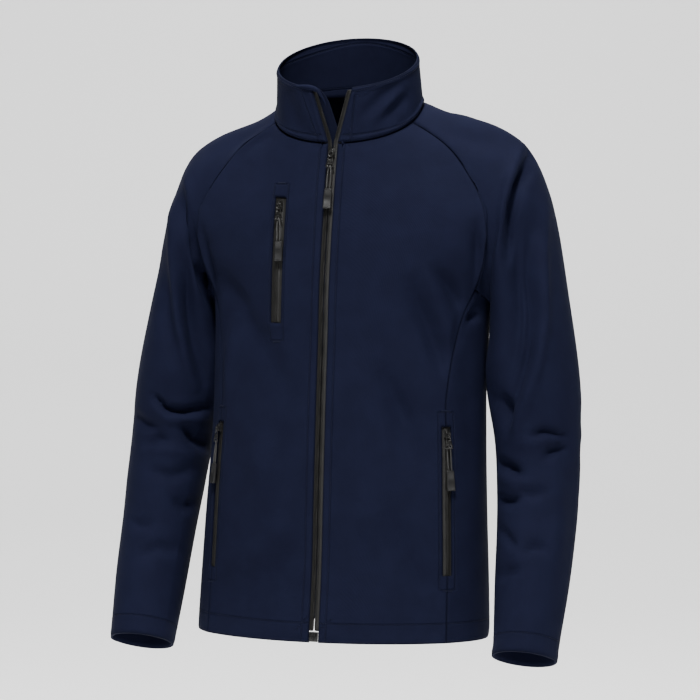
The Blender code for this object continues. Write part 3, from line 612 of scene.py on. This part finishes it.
def outside_normals(data, points, outside):
    """Normals from the outside faces alone, so that the rim doesn't tilt them."""
    corners = quads_of(data)
    corners = corners[(outside[corners] > OUTSIDE).all(axis=1)]
    a, b, c, d = (points[corners[:, n]] for n in range(4))
    ways = np.cross(c - a, d - b)
    normals = np.zeros_like(points)
    for n in range(4):
        np.add.at(normals, corners[:, n], ways)
    lengths = np.linalg.norm(normals, axis=1)
    lengths[lengths == 0] = 1
    return normals / lengths[:, None]


def tree_of(points):
    tree = KDTree(len(points))
    for i, point in enumerate(points):
        tree.insert(point, i)
    tree.balance()
    return tree


def waver(points, size, seed):
    """A slow wave over the cloth, from a few sines in uneven directions."""
    rng = np.random.default_rng(seed)
    total = np.zeros(len(points))
    for _ in range(5):
        way = rng.normal(size=3)
        way *= 2 * math.pi / (size * rng.uniform(0.7, 1.5) * np.linalg.norm(way))
        total += np.sin(points @ way + rng.uniform(0, 6.28))
    return total / 5


def edge_distances(data, points, outside):
    """How far each point is from the panel's cut edge."""
    quads = quads_of(data)
    mixed = ~(outside[quads] > OUTSIDE).all(axis=1)
    rim = np.unique(quads[mixed])
    rim = rim[outside[rim] > OUTSIDE]
    tree = tree_of(points[rim])
    return np.array([tree.find(point)[2] for point in points])


# How much deeper the creases of each kind of panel are than the strokes say
FOLD_DEPTH = {"sleeve": 3.0, "front": 4.2, "side": 2.6, "back": 3.2, "collar": 2.6}
SEAM_FADE = 0.016
WAVER_SIZE, WAVER_HEIGHT, WAVER_SEED = 0.16, 0.0008, 3
# The collar's rim is a soft roll: its height, how far it is from the edge, and its half width
RIM_HEIGHT, RIM_INSET, RIM_HALF_WIDTH = 0.0010, 0.0044, 0.0026
SEAM_SINK, SEAM_ROLL = 0.0009, 0.0034


def work_panel(name, panel):
    data = panel.data
    points, outside = points_of(data), outside_of(data)
    normals = outside_normals(data, points, outside)
    out = np.flatnonzero(outside > OUTSIDE)
    place, way = points[out], normals[out]
    height = waver(place, WAVER_SIZE, WAVER_SEED) * WAVER_HEIGHT
    to_camera = -(way[:, 0] * into_the_scene.x + way[:, 1] * into_the_scene.y)
    facing = np.clip((to_camera + 0.05) / 0.35, 0, 1)
    photo = in_photo(place)
    for stroke in FRONT_STROKES:
        height += stroke_height(photo, stroke) * facing
    away = np.clip((way[:, 1] - 0.05) / 0.4, 0, 1)
    if name in ("back", "side_left", "side_right", "sleeve_left", "sleeve_right"):
        behind = from_behind(place)
        for stroke in BACK_STROKES:
            height += stroke_height(behind, stroke) * away
    edge = edge_distances(data, points, outside)
    seam_fade = np.clip(edge[out] / SEAM_FADE, 0, 1)
    height *= FOLD_DEPTH[name.split("_")[0]] * seam_fade * seam_fade * (3 - 2 * seam_fade)
    if name == "collar":
        height += RIM_HEIGHT * np.exp(-(((edge[out] - RIM_INSET) / RIM_HALF_WIDTH) ** 2))
    roll = np.clip(1 - edge[out] / SEAM_ROLL, 0, 1)
    height -= SEAM_SINK * roll * roll
    moves = way * height[:, None]
    nearest = tree_of(place)
    share = np.array([nearest.find(point)[1] for point in points])
    points += moves[share]
    data.vertices.foreach_set("co", points.ravel())
    write_number(data, "edge_distance", edge)
    data.update()
    return height.min(), height.max()


# The storm flap's top corner is rounded off: from what height, over what height, towards what edge
FLAP_FROM, FLAP_OVER, FLAP_EDGE, FLAP_SHARE = -0.004, 0.0288, -0.035, 0.42
flap_points = points_of(cloth["storm_flap"].data)
above = np.clip((flap_points[:, 2] - FLAP_FROM) / FLAP_OVER, 0, 1)
flap_points[:, 0] -= (flap_points[:, 0] - FLAP_EDGE) * FLAP_SHARE * above**3
cloth["storm_flap"].data.vertices.foreach_set("co", flap_points.ravel())
# The storm flap is not worked, so it has no edge_distance, and its finish paints all of it with the cut
# edges' painted shade
for name, panel in cloth.items():
    if name != "storm_flap":
        low, high = work_panel(name, panel)
        print(name, "folds from", round(low * 1000, 1), "to", round(high * 1000, 1), "mm")

# %% [markdown]
# ## Rows of sewing
# A maker topstitches softshell beside the zips, round the pockets, along the collar, and through
# the turned hem and cuffs. Each row is found by casting rays at the finished cloth, so it lies on
# the folds. The same points also give the cloth the distance that its finish presses a groove by.

# %% Casting rays at the cloth
HEM = -0.709
FRONT_NECK = -0.050
surfaces = {}
for name, panel in cloth.items():
    surfaces[name] = BVHTree.FromObject(panel, bpy.context.evaluated_depsgraph_get())


def touch(origin, way, names=None):
    """The first cloth that a ray meets: where, and the way it faces."""
    best = None
    for name in names or surfaces:
        place, normal, _, distance = surfaces[name].ray_cast(Vector(origin), Vector(way), 1.0)
        if place is not None and (best is None or distance < best[2]):
            best = (place, normal, distance)
    return best


def row_of(rays, names=None, longest_step=0.02):
    """Rows of (place, normal) along the rays, parted wherever the cloth stops."""
    rows, row = [], []
    for origin, way in rays:
        hit = touch(origin, way, names)
        if hit is None or (row and (hit[0] - row[-1][0]).length > longest_step):
            if len(row) > 2:
                rows.append(row)
            row = []
        if hit is not None:
            row.append(hit[:2])
    if len(row) > 2:
        rows.append(row)
    return rows


def even_row(row, step):
    """The same row with its points evenly spaced."""
    places = np.array([place for place, _ in row])
    normals = np.array([normal for _, normal in row])
    travelled = np.concatenate([[0], np.cumsum(np.linalg.norm(np.diff(places, axis=0), axis=1))])
    marks = np.arange(step / 2, travelled[-1], step)
    even = np.stack([np.interp(marks, travelled, places[:, n]) for n in range(3)], 1)
    facing = np.stack([np.interp(marks, travelled, normals[:, n]) for n in range(3)], 1)
    return even, facing / np.linalg.norm(facing, axis=1, keepdims=True)


def photo_ray(x, y):
    """A ray from the camera through a pixel of the photograph."""
    start = Vector((0, 0, EYE_HEIGHT)) - into_the_scene * DISTANCE
    up = Vector((0, 0, (AHEAD_Y - y) / FOCAL_PIXELS))
    way = to_the_right * ((x - AHEAD_X) / FOCAL_PIXELS) + into_the_scene + up
    way.normalize()
    return start + way * (DISTANCE - 0.6), way


def round_rays(centre, radius, axis, count):
    """Rays in a ring round an axis, towards it."""
    axis = Vector(axis).normalized()
    first = axis.cross(Vector((1, 0, 0))).normalized()
    second = axis.cross(first)
    rays = []
    for degrees in np.linspace(0, 360, count):
        spoke = first * math.cos(math.radians(degrees)) + second * math.sin(math.radians(degrees))
        rays.append((centre + spoke * radius, -spoke))
    return rays


def spoke_at(degrees):
    """The level way out from the neck, round from the front."""
    return Vector((math.sin(math.radians(degrees)), -math.cos(math.radians(degrees)), 0))


def level_rays(turns, middle_y, height_at, reach):
    """Level rays at the cloth, from reach outside it, or from the middle where reach is 0."""
    rays = []
    for degrees in turns:
        way = spoke_at(degrees)
        centre = Vector((0, middle_y, height_at(degrees)))
        rays.append((centre + way * reach, -way) if reach else (centre, way))
    return rays


# %% [markdown]
# The pockets' rows follow the pocket zips. Each pull's joint gives the way across its zip, so the
# way out of the cloth is found from it, and the zip's own points give its middle line.

# %% Where the pocket zips run
joints = {joint["child"]: joint for joint in frame["joints"]}


def zip_frame(name):
    across = Vector(joints["pull_" + name]["axis"])
    out = Vector((across.y, -across.x, 0)).normalized()
    if out.y > 0:
        out.negate()
    return across.normalized(), out


def zip_middle(name):
    """The middle line of a pocket's zip, from its lowest point to its highest."""
    points = points_of(frame["nodes"]["pocket_zip_" + name].data)
    heights = np.round(points[:, 2], 3)
    levels = np.unique(heights)
    middle = np.array([points[np.abs(points[:, 2] - level) < 0.004].mean(axis=0) for level in levels])
    return levels, middle


def beside_zip(name, offsets, heights):
    """Rays at the cloth at places across and along a pocket's zip."""
    across, out = zip_frame(name)
    levels, middle = zip_middle(name)
    rays = []
    for offset, height in zip(offsets, heights):
        place = Vector([float(np.interp(height, levels, middle[:, n])) for n in range(3)])
        place.z = height
        rays.append((place + out * 0.05 + across * offset, -out))
    return rays


def frame_round_zip(name, side, low, high):
    """A stitched rectangle round a pocket's window, closed at both ends."""
    corners = [(-side, low), (-side, high), (side, high), (side, low), (-side, low)]
    offsets, heights = [], []
    for (x0, z0), (x1, z1) in zip(corners, corners[1:]):
        count = max(3, int(max(abs(x1 - x0), abs(z1 - z0)) / 0.002))
        offsets += list(np.linspace(x0, x1, count))
        heights += list(np.linspace(z0, z1, count))
    return beside_zip(name, offsets, heights)


# %% All the rows
# How far each row is from the edge that it follows
BESIDE_ZIP = 0.0168
ABOVE_HEM = 0.0255
BELOW_COLLAR_TOP = 0.0075
ABOVE_NECK_SEAM = 0.0095
BESIDE_POCKET = 0.0112
COLLAR_MEAN, COLLAR_TILT = 0.058, 0.0355
TRUNK_MIDDLE_Y, NECK_MIDDLE_Y = -0.012, 0.012
# The middle of the wearer's left cuff, and the way down the sleeve there
CUFF_MIDDLE, CUFF_WAY = (0.2715, -0.0630, -0.7275), (0.0003, -0.0090, -0.0235)
# Where the rows beside the open zip start and end on the collar, in the photograph's pixels
COLLAR_ZIP_ROWS = (((301, 93), (318, 141)), ((355, 98), (350, 143)))


def collar_top(degrees):
    """Height of the collar's top edge, round from the front."""
    return COLLAR_MEAN - COLLAR_TILT * math.cos(math.radians(degrees))


rows = {}
fronts = ("front_left", "front_right")
rows["zip"] = []
for sign in (-1, 1):
    heights = np.arange(HEM + 0.004, FRONT_NECK - 0.004, 0.004)
    rows["zip"] += row_of([((sign * BESIDE_ZIP, -0.4, z), (0, 1, 0)) for z in heights], fronts)
for line_start, line_end in np.array(COLLAR_ZIP_ROWS):
    rays = [photo_ray(*(line_start + (line_end - line_start) * share)) for share in np.linspace(0, 1, 24)]
    rows["zip"] += row_of(rays, ("collar",))
rays = level_rays(np.arange(0, 360, 1.0), TRUNK_MIDDLE_Y, lambda _: HEM + ABOVE_HEM, 0.3)
rows["hem"] = row_of(rays, ("front_left", "front_right", "side_left", "side_right", "back"))
rows["cuff"] = []
mirror_x = {1: Vector((1, 1, 1)), -1: Vector((-1, 1, 1))}
for side in (1, -1):
    end = Vector(CUFF_MIDDLE) * mirror_x[side]
    axis = (Vector(CUFF_WAY) * mirror_x[side]).normalized()
    rays = round_rays(end - axis * ABOVE_HEM, 0.12, axis, 121)
    rows["cuff"] += row_of(rays, ("sleeve_left",) if side > 0 else ("sleeve_right",))
rows["collar"] = []
for reach in (0.2, 0):
    rays = level_rays(
        np.arange(18, 343, 1.5), NECK_MIDDLE_Y, lambda turn: collar_top(turn) - BELOW_COLLAR_TOP, reach
    )
    rows["collar"] += row_of(rays, ("collar",))
neck_points = points_of(frame["nodes"]["collar"].data)
neck_turns = np.degrees(np.arctan2(neck_points[:, 0], -(neck_points[:, 1] - NECK_MIDDLE_Y))) % 360
# The collar has points all round between these turns, and a window this wide always holds some
NECK_RANGE = range(26, 335)
NEAR_DEGREES = 8.0
SMOOTH_STEPS = 6


def lowest_near(degrees):
    away = np.abs((neck_turns - degrees + 180) % 360 - 180)
    return neck_points[away < NEAR_DEGREES, 2].min()


seam_heights = np.array([lowest_near(degrees) for degrees in NECK_RANGE])
window = 2 * SMOOTH_STEPS + 1
padded = np.pad(seam_heights, SMOOTH_STEPS, "edge")
seam_heights = np.convolve(padded, np.full(window, 1 / window), "valid")


def neck_seam(degrees):
    """Height of the seam that joins the collar, round from the front."""
    return float(np.interp(degrees, NECK_RANGE, seam_heights))


rays = level_rays(
    np.arange(14, 347, 1.5), NECK_MIDDLE_Y, lambda turn: neck_seam(turn) + ABOVE_NECK_SEAM, 0.2
)
rows["neck_band"] = row_of(rays, ("collar",))
rows["pocket"] = []
# The heights that the sewing round each pocket zip runs between
POCKETS = {"left": (-0.6395, -0.4055), "right": (-0.6395, -0.4055), "chest": (-0.3130, -0.1045)}
for name, (low, high) in POCKETS.items():
    rows["pocket"] += row_of(frame_round_zip(name, BESIDE_POCKET, low, high), longest_step=0.012)
print("rows of sewing:", {name: len(found) for name, found in rows.items()})


# %% [markdown]
# ## Stitches
# Each stitch is a short thread that dips into the cloth at both ends, so a flattened ball of a few
# faces is enough. A row of them at 3.4 mm is what a sewing machine leaves on such cloth.

# %% Repeat a small shape
def stitch(place, along, up, length, width, height):
    """Where one stitch lies: a turn that stretches the ball to its length, width and height."""
    along = Vector(along).normalized()
    across = Vector(up).cross(along).normalized()
    up = along.cross(across)
    turn = Matrix((along * length / 2, across * width / 2, up * height)).transposed().to_4x4()
    turn.translation = place
    return turn


def repeated(name, turns, finish, slot):
    """One joined mesh with a coarse ball, the form of a stitch, at each turn."""
    ball = bmesh.new()
    bmesh.ops.create_uvsphere(ball, u_segments=6, v_segments=4, radius=1)
    corners = np.array([vert.co for vert in ball.verts])
    faces = [[vert.index for vert in face.verts] for face in ball.faces]
    ball.free()
    turns = np.array([list(map(list, turn)) for turn in turns])
    places = np.einsum("nij,vj->nvi", turns[:, :3, :3], corners) + turns[:, None, :3, 3]
    firsts = range(0, len(turns) * len(corners), len(corners))
    mesh = bpy.data.meshes.new(name)
    mesh.from_pydata(places.reshape(-1, 3), [], [[first + v for v in f] for first in firsts for f in faces])
    joined = bmesh.new()
    joined.from_mesh(mesh)
    bpy.data.meshes.remove(mesh)
    return finished(name, joined, finish.material, slot)


# %% Sew the rows
def sewn_rows(name, found, pitch=0.0034, length=0.0027, width=0.00075, height=0.00042):
    turns = []
    for row in found:
        places, normals = even_row(row, pitch)
        steps = np.diff(places, axis=0)
        turns += [stitch(*where, length, width, height) for where in zip(places, steps, normals)]
    return repeated(name, turns, thread_finish, "softshell")


sewing = {name: sewn_rows(name + "_sewing", found) for name, found in rows.items()}
print("stitches' faces:", {name: len(obj.data.polygons) for name, obj in sewing.items()})

# %% [markdown]
# A bartack is a dense bar of thread where a pocket is stressed, at both ends of each window. It is
# sewn the same way, with stitches laid side by side.

# %% Bartacks
BARTACK_HALF_WIDTH, BARTACK_STITCHES = 0.0062, 17
BARTACK_BEYOND = 0.0015
turns = []
for name, (low, high) in POCKETS.items():
    across, out = zip_frame(name)
    for height in (low - BARTACK_BEYOND, high + BARTACK_BEYOND):
        offsets = np.linspace(-BARTACK_HALF_WIDTH, BARTACK_HALF_WIDTH, BARTACK_STITCHES)
        for origin, way in beside_zip(name, offsets, [height] * len(offsets)):
            hit = touch(origin, way)
            if hit is not None:
                turns.append(stitch(hit[0], (0, 0, 1), hit[1], length=0.0024, width=0.0009, height=0.0006))
bartacks = repeated("bartacks", turns, thread_finish, "softshell")
print("bartacks:", len(bartacks.data.polygons), "faces")

# %% Tell the cloth how far its sewing is
FAR = 0.02
row_places, row_sides = [], []
for found in rows.values():
    for row in found:
        places, normals = even_row(row, 0.0012)
        along = np.gradient(places, axis=0)
        sides = np.cross(along, normals)
        row_places.append(places)
        row_sides.append(sides / np.linalg.norm(sides, axis=1, keepdims=True))
row_places = np.concatenate(row_places)
row_sides = np.concatenate(row_sides)
row_tree = tree_of(row_places)
for name, panel in cloth.items():
    points = points_of(panel.data)
    found = [row_tree.find(point) for point in points]
    nearest = np.array([hit[1] for hit in found])
    distance = np.array([hit[2] for hit in found])
    side = np.sign(((points - row_places[nearest]) * row_sides[nearest]).sum(axis=1))
    write_number(panel.data, "sewing_distance", np.minimum(distance, FAR) * side)
    write_number(panel.data, "sewing_near", np.minimum(distance, FAR))
print("sewing distances written")

# %% [markdown]
# ## Tape inside the neck, and the chin guard
# The seam that joins the collar is covered inside by a narrow tape of the same cloth. At the top of
# the wearer's right front, the cloth rolls over the end of the zip and goes on as the storm flap,
# so that the zip never touches the chin.

# %% Neck tape
TAPE_TURNS = np.arange(12, 349, 3.0)
# Heights of the tape's rows, from the neck seam
TAPE_HEIGHTS = (-0.0060, -0.0015, 0.0025, 0.0065)
TAPE_CLEAR, TAPE_THICK = 0.0010, 0.0008
INSIDE_RADIUS, FARTHEST_INSIDE = 0.075, 0.13
mesh = bmesh.new()
grid = bmesh.ops.create_grid(mesh, x_segments=len(TAPE_TURNS) - 1, y_segments=3, size=1)["verts"]
inner_faces = ("collar", "back", "front_left", "front_right", "sleeve_left", "sleeve_right")
for vert in grid:
    degrees = TAPE_TURNS[round((vert.co.x + 1) / 2 * (len(TAPE_TURNS) - 1))]
    height = neck_seam(degrees) + TAPE_HEIGHTS[round((vert.co.y + 1) / 2 * 3)]
    way = spoke_at(degrees)
    centre = Vector((0, NECK_MIDDLE_Y, height))
    hit = touch(centre, way, inner_faces)
    place = hit[0] if hit and hit[2] < FARTHEST_INSIDE else centre + way * INSIDE_RADIUS
    vert.co = place - way * TAPE_CLEAR
bmesh.ops.solidify(mesh, geom=mesh.faces[:], thickness=TAPE_THICK)
bmesh.ops.recalc_face_normals(mesh, faces=mesh.faces)
neck_tape = finished("neck_tape", mesh, softshell, "softshell")
subdivide(neck_tape, 1)
print("neck tape:", len(neck_tape.data.polygons), "faces")

# %% Chin guard
# (x, y, front, radius): a pixel of the photograph on the roll, how far the roll lies in front of
# the cloth there, and its radius. The cloth is looked for CLOTH_BELOW pixels further down.
CLOTH_BELOW = 5
CHIN_ROLL = (
    (293.0, 88.0, -0.0012, 0.0012), (299.0, 87.6, -0.0004, 0.0023), (305.0, 87.8, 0.0004, 0.0030),
    (311.5, 88.6, 0.0012, 0.0034), (317.0, 91.0, 0.0008, 0.0034), (321.5, 96.0, -0.0002, 0.0028),
    (325.5, 104.0, -0.0008, 0.0019), (329.5, 115.0, -0.0014, 0.0010),
)


def tube_along(places, radii, bevel_steps, length_steps):
    """A round tube along a smooth curve, with a radius at each place."""
    curve = bpy.data.curves.new("tube", "CURVE")
    curve.dimensions = "3D"
    curve.bevel_depth = 1.0
    curve.bevel_resolution = bevel_steps
    spline = curve.splines.new("NURBS")
    spline.points.add(len(places) - 1)
    for point, place, radius in zip(spline.points, places, radii):
        point.co = (*place, 1)
        point.radius = radius
    spline.use_endpoint_u = True
    spline.order_u = 4
    spline.resolution_u = length_steps
    holder = bpy.data.objects.new("tube", curve)
    mesh = bmesh.new()
    mesh.from_mesh(holder.to_mesh())
    holder.to_mesh_clear()
    bpy.data.objects.remove(holder)
    bpy.data.curves.remove(curve)
    return mesh


depth = None
roll_places = []
for x, y, front, radius in CHIN_ROLL:
    start, way = photo_ray(x, y + CLOTH_BELOW)
    hit = touch(start, way, ("collar", "storm_flap"))
    depth = hit[0].y if hit and hit[0].y < 0 else depth
    start, way = photo_ray(x, y)
    roll_places.append(start + way * ((depth - start.y) / way.y - front))
mesh = tube_along(roll_places, [row[3] for row in CHIN_ROLL], bevel_steps=4, length_steps=6)
chin_guard = finished("chin_guard", mesh, softshell, "softshell")
print("chin guard:", len(chin_guard.data.polygons), "faces")

# %% The new cloth has no sewing in it, and no cut edge that shows
for piece in (neck_tape, chin_guard):
    for name in ("sewing_distance", "sewing_near", "edge_distance"):
        write_number(piece.data, name, np.full(len(piece.data.vertices), FAR))

# %% [markdown]
# ## The zips
# The CAD strips already stand where the zips do, with the raised middle that the coil behind gives
# them. A smoothed copy rounds that middle, and fine ribs across it show each turn of the coil.

# %% Smooth the tapes
ZIPS = ("zip_tape_left", "zip_tape_right", "pocket_zip_chest", "pocket_zip_left", "pocket_zip_right")
tapes = {}
for node in ZIPS:
    strip = merged_copy(node)
    tape = finished(node + "_woven", strip, tape_finish.material, "zip_tape")
    subdivide(tape, 2)
    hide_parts(node)
    tapes[node] = tape
print("tapes:", {name: len(tape.data.polygons) for name, tape in tapes.items()})


# %% Ribs over the coils
RIB_PITCH = 0.00145
COIL_OFFSET = 0.00145
RIB_FROM_EDGE = 0.0013


def rib_rows():
    """(rays, tape, way across) for each side of each coil."""
    for sign, node in ((1, "zip_tape_left"), (-1, "zip_tape_right")):
        points = points_of(frame["nodes"][node].data)
        levels = np.unique(np.round(points[:, 2], 3))
        edge = [np.abs(points[np.abs(points[:, 2] - level) < 0.004, 0]).min() for level in levels]
        heights = np.arange(levels[0] + 0.016, levels[-1] - 0.001, RIB_PITCH)
        from_middle = np.interp(heights, levels, edge) + RIB_FROM_EDGE
        rays = [((sign * x, -0.4, z), (0, 1, 0)) for x, z in zip(from_middle, heights)]
        yield rays, node, Vector((1, 0, 0))
    for name in POCKETS:
        across, out = zip_frame(name)
        levels, _ = zip_middle(name)
        heights = np.arange(levels[0] + 0.008, levels[-1] - 0.008, RIB_PITCH)
        for offset in (-COIL_OFFSET, COIL_OFFSET):
            yield beside_zip(name, [offset] * len(heights), heights), "pocket_zip_" + name, across


turns = []
for rays, node, across in rib_rows():
    tree = BVHTree.FromObject(tapes[node], bpy.context.evaluated_depsgraph_get())
    for origin, way in rays:
        place, normal, _, _ = tree.ray_cast(Vector(origin), Vector(way), 1.0)
        if place is not None:
            turns.append(stitch(place, across, normal, length=0.0023, width=0.00115, height=0.00042))
ribs = repeated("coil_ribs", turns, tape_finish, "zip_tape")
print("ribs:", len(ribs.data.polygons), "faces")

# %% [markdown]
# ## Sliders and the zip's box
# These are small castings. The CAD pieces have the right blocks, so a bevel and a little smoothing
# are all that their edges need before they are plated.

# %% Castings
for node in ("slider_main", "slider_chest", "slider_left", "slider_right", "zip_box"):
    casting = merged_copy(node)
    bmesh.ops.bevel(
        casting, geom=[e for e in casting.edges if e.is_manifold and e.calc_face_angle() > 0.6],
        offset=0.00035, segments=3, profile=0.5, affect="EDGES", material=-1, clamp_overlap=True,
    )
    piece = finished(node + "_casting", casting, metal_finish.material, "zip_metal")
    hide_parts(node)
    print(piece.name, len(piece.data.polygons), "faces")

# %% [markdown]
# ## The pulls
# A pull has three parts: a stamped tab with a small hole and an eye, a loop of cord through the
# eye, and a moulded grip that closes the loop. They are made once, hanging from their hinge at the
# origin, and then placed on each slider's own hinge.

# %% The tab
# (height, half width) down the tab, and the cells of its grid that are punched out
TAB_THICK = 0.0013
TAB_ROWS = (
    (0.0010, 0.0031), (-0.0011, 0.0036), (-0.0054, 0.0034), (-0.0072, 0.0035), (-0.0098, 0.0039),
    (-0.0152, 0.0050), (-0.0170, 0.0055), (-0.0196, 0.0061), (-0.0213, 0.0061),
)
TAB_SHARES = (-1.0, -0.60, 0.0, 0.60, 1.0)
TAB_HOLES = {(1, 1), (1, 2), (3, 1), (3, 2), (6, 1), (6, 2)}


def tab_mesh():
    mesh = bmesh.new()
    grid = bmesh.ops.create_grid(mesh, x_segments=4, y_segments=8, size=1)["verts"]
    for vert in grid:
        column = round((vert.co.x + 1) * 2)
        row = round((1 - vert.co.y) * 4)
        height, half_width = TAB_ROWS[row]
        vert.co = (TAB_SHARES[column] * half_width, 0.0, height)
    gone = []
    for face in mesh.faces:
        middle = face.calc_center_median()
        row = sum(middle.z < height for height, _ in TAB_ROWS) - 1
        half_width = (TAB_ROWS[row][1] + TAB_ROWS[row + 1][1]) / 2
        column = sum(middle.x / half_width > share for share in TAB_SHARES) - 1
        if (row, column) in TAB_HOLES:
            gone.append(face)
    bmesh.ops.delete(mesh, geom=gone, context="FACES")
    bmesh.ops.solidify(mesh, geom=mesh.faces[:], thickness=TAB_THICK)
    bmesh.ops.translate(mesh, verts=mesh.verts, vec=(0, TAB_THICK / 2, 0))
    bmesh.ops.recalc_face_normals(mesh, faces=mesh.faces)
    return mesh


# %% The grip
GRIP_SIZE, GRIP_MIDDLE = (0.0118, 0.0040, 0.0270), -0.0637
# Above this height the grip narrows to these shares of its width and thickness
GRIP_NECK, GRIP_NARROW, GRIP_THIN = -0.06, 0.90, 0.84


def grip_mesh():
    mesh = bmesh.new()
    bmesh.ops.create_cube(mesh, size=1)
    bmesh.ops.scale(mesh, vec=GRIP_SIZE, verts=mesh.verts)
    bmesh.ops.translate(mesh, vec=(0, 0, GRIP_MIDDLE), verts=mesh.verts)
    for vert in mesh.verts:
        if vert.co.z > GRIP_NECK:
            vert.co.x *= GRIP_NARROW
            vert.co.y *= GRIP_THIN
    bmesh.ops.bevel(
        mesh, geom=mesh.edges[:], offset=0.0012, segments=4, profile=0.5, affect="EDGES", material=-1
    )
    front = [f for f in mesh.faces if abs(f.normal.y) > 0.9 and f.calc_area() > 1e-5]
    bmesh.ops.inset_region(mesh, faces=front, thickness=0.0009, depth=-0.0003)
    return mesh


# %% The loop of cord
CORD_RADIUS = 0.00105
CORD_POINTS = (
    (-0.0021, 0.0000, -0.0515), (-0.0024, 0.0002, -0.0400), (-0.0025, 0.0004, -0.0290),
    (-0.0020, 0.0012, -0.0228), (-0.0012, 0.0018, -0.0202), (0.0000, 0.0004, -0.0184),
    (0.0012, -0.0012, -0.0202), (0.0020, -0.0010, -0.0228), (0.0025, 0.0000, -0.0290),
    (0.0024, 0.0002, -0.0400), (0.0021, 0.0000, -0.0515),
)


def cord_mesh():
    mesh = tube_along(CORD_POINTS, [CORD_RADIUS] * len(CORD_POINTS), bevel_steps=3, length_steps=5)
    bmesh.ops.holes_fill(mesh, edges=mesh.edges)
    return mesh


# %% Hang a pull on each slider
def hinge_frame(name):
    """The place of a pull's hinge and its across, out and up ways, from the CAD pull's points."""
    joint = joints[name]
    place = Vector(joint["pos_m"])
    points = points_of(frame["nodes"][name].data)
    far = points[np.argsort(np.linalg.norm(points - np.array(place), axis=1))[-8:]]
    up = (place - Vector(far.mean(axis=0))).normalized()
    across = Vector(joint["axis"]).normalized()
    out = up.cross(across).normalized()
    if out.y > 0:
        out.negate()
        across.negate()
    turn = Matrix((across, out, up)).transposed().to_4x4()
    turn.translation = place
    return turn


PARTS = (
    ("tab", tab_mesh, metal_finish, "zip_metal", 2),
    ("cord", cord_mesh, cord_finish, "pull_grip", 0),
    ("grip", grip_mesh, grip_finish, "pull_grip", 0),
)
for name in ("pull_main", "pull_chest", "pull_left", "pull_right"):
    turn = hinge_frame(name)
    made = []
    for part, shape, finish, slot, levels in PARTS:
        mesh = shape()
        bmesh.ops.transform(mesh, matrix=turn, verts=mesh.verts)
        piece = finished(f"{name}_{part}", mesh, finish.material, slot, name)
        if levels:
            subdivide(piece, levels)
        made.append(piece)
    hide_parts(name)
    print(name, [len(piece.data.polygons) for piece in made])

# %% [markdown]
# ## What each panel was cut to
# A sewer would lay each panel flat. These sizes are the width and length of its cut, and its area,
# measured on the panels' own walls.

# %% Sheets
# (width, length, area) of each panel
CUTS = {
    "front_left": (0.24, 0.68, 0.117), "front_right": (0.24, 0.68, 0.114),
    "side_left": (0.21, 0.46, 0.077), "side_right": (0.21, 0.46, 0.077),
    "back": (0.47, 0.74, 0.250), "sleeve_left": (0.44, 0.80, 0.240),
    "sleeve_right": (0.44, 0.80, 0.240), "collar": (0.54, 0.09, 0.043),
    "storm_flap": (0.040, 0.090, 0.0030),
}
SEWN_ON = {"front_left": [sewing["zip"]], "back": [sewing["hem"]], "collar": [sewing["collar"]]}
for node, (width, length, area) in CUTS.items():
    data = cloth[node].data
    outside = outside_of(data)
    measured = sum(p.area for p in data.polygons if all(outside[v] > OUTSIDE for v in p.vertices))
    print(node, "cut", area, "measures", round(measured, 4))
    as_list(SEWN_ON.get(node, []))

# %% [markdown]
# ## Floor and light
# The photograph is cut out on white, so the floor and the wall behind it are one pale sweep. The
# main soft light hangs high in front, with a wide one overhead, a weak one low on the right, and a
# weaker one behind on the left.

# %% Sweep
# (forward, up) along the sweep, from the floor in front to the top of the wall
SWEEP = ((-3.2, -0.96), (2.2, -0.96), (2.9, -0.86), (3.3, -0.55), (3.45, -0.1), (3.5, 3.4))
SWEEP_WIDTH = 10
mesh = bmesh.new()
verts = [mesh.verts.new((-SWEEP_WIDTH / 2, y, z)) for y, z in SWEEP]
edges = [mesh.edges.new(pair) for pair in zip(verts, verts[1:])]
swept = bmesh.ops.extrude_edge_only(mesh, edges=edges)["geom"]
far_side = [v for v in swept if isinstance(v, bmesh.types.BMVert)]
bmesh.ops.translate(mesh, vec=(SWEEP_WIDTH, 0, 0), verts=far_side)
bmesh.ops.rotate(
    mesh, cent=(0, 0, 0), matrix=Matrix.Rotation(LOOK_ROUND, 3, "Z"), verts=mesh.verts
)
floor_finish = Finish("pale sweep", Base_Color=(0.95, 0.95, 0.95), Roughness=0.9)
floor_finish.set(Emission_Color=(1.0, 1.0, 1.0), Emission_Strength=0.22)
# The sweep is clear from its back, so that the jacket shows from behind as well
floor_finish.set(Alpha=1.0 - floor_finish.node("ShaderNodeNewGeometry", {}, {}, "Backfacing"))
placed("sweep", mesh, floor_finish.material)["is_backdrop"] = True


# %% Lights
def soft_light(name, place, size, power):
    """An area light, size metres wide and high, turned to the middle of the jacket."""
    data = bpy.data.lights.new(name, "AREA")
    data.shape = "RECTANGLE"
    data.size, data.size_y = size
    data.energy = power
    light = bpy.data.objects.new(name, data)
    light.location = place
    light.rotation_euler = (Vector((0, 0, -0.33)) - Vector(place)).to_track_quat("-Z", "Y").to_euler()
    bpy.context.scene.collection.objects.link(light)


soft_light("key", (0.4, -1.9, 3.3), (0.7, 0.7), 320)
soft_light("fill", (2.6, -3.0, 0.4), (1.2, 1.6), 12)
soft_light("top", (0.2, 0.3, 2.8), (1.6, 1.4), 100)
soft_light("back left", (-2.6, 1.6, 0.9), (1.2, 2.0), 8)
world = bpy.data.worlds.new("studio")
world.use_nodes = True
background = world.node_tree.nodes["Background"].inputs
background["Color"].default_value = (1, 1, 1, 1)
background["Strength"].default_value = 0.05
bpy.context.scene.world = world

# %% Finish
dressed_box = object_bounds()
lists = [[list(corner) for corner in box] for box in (cad_box, dressed_box)]
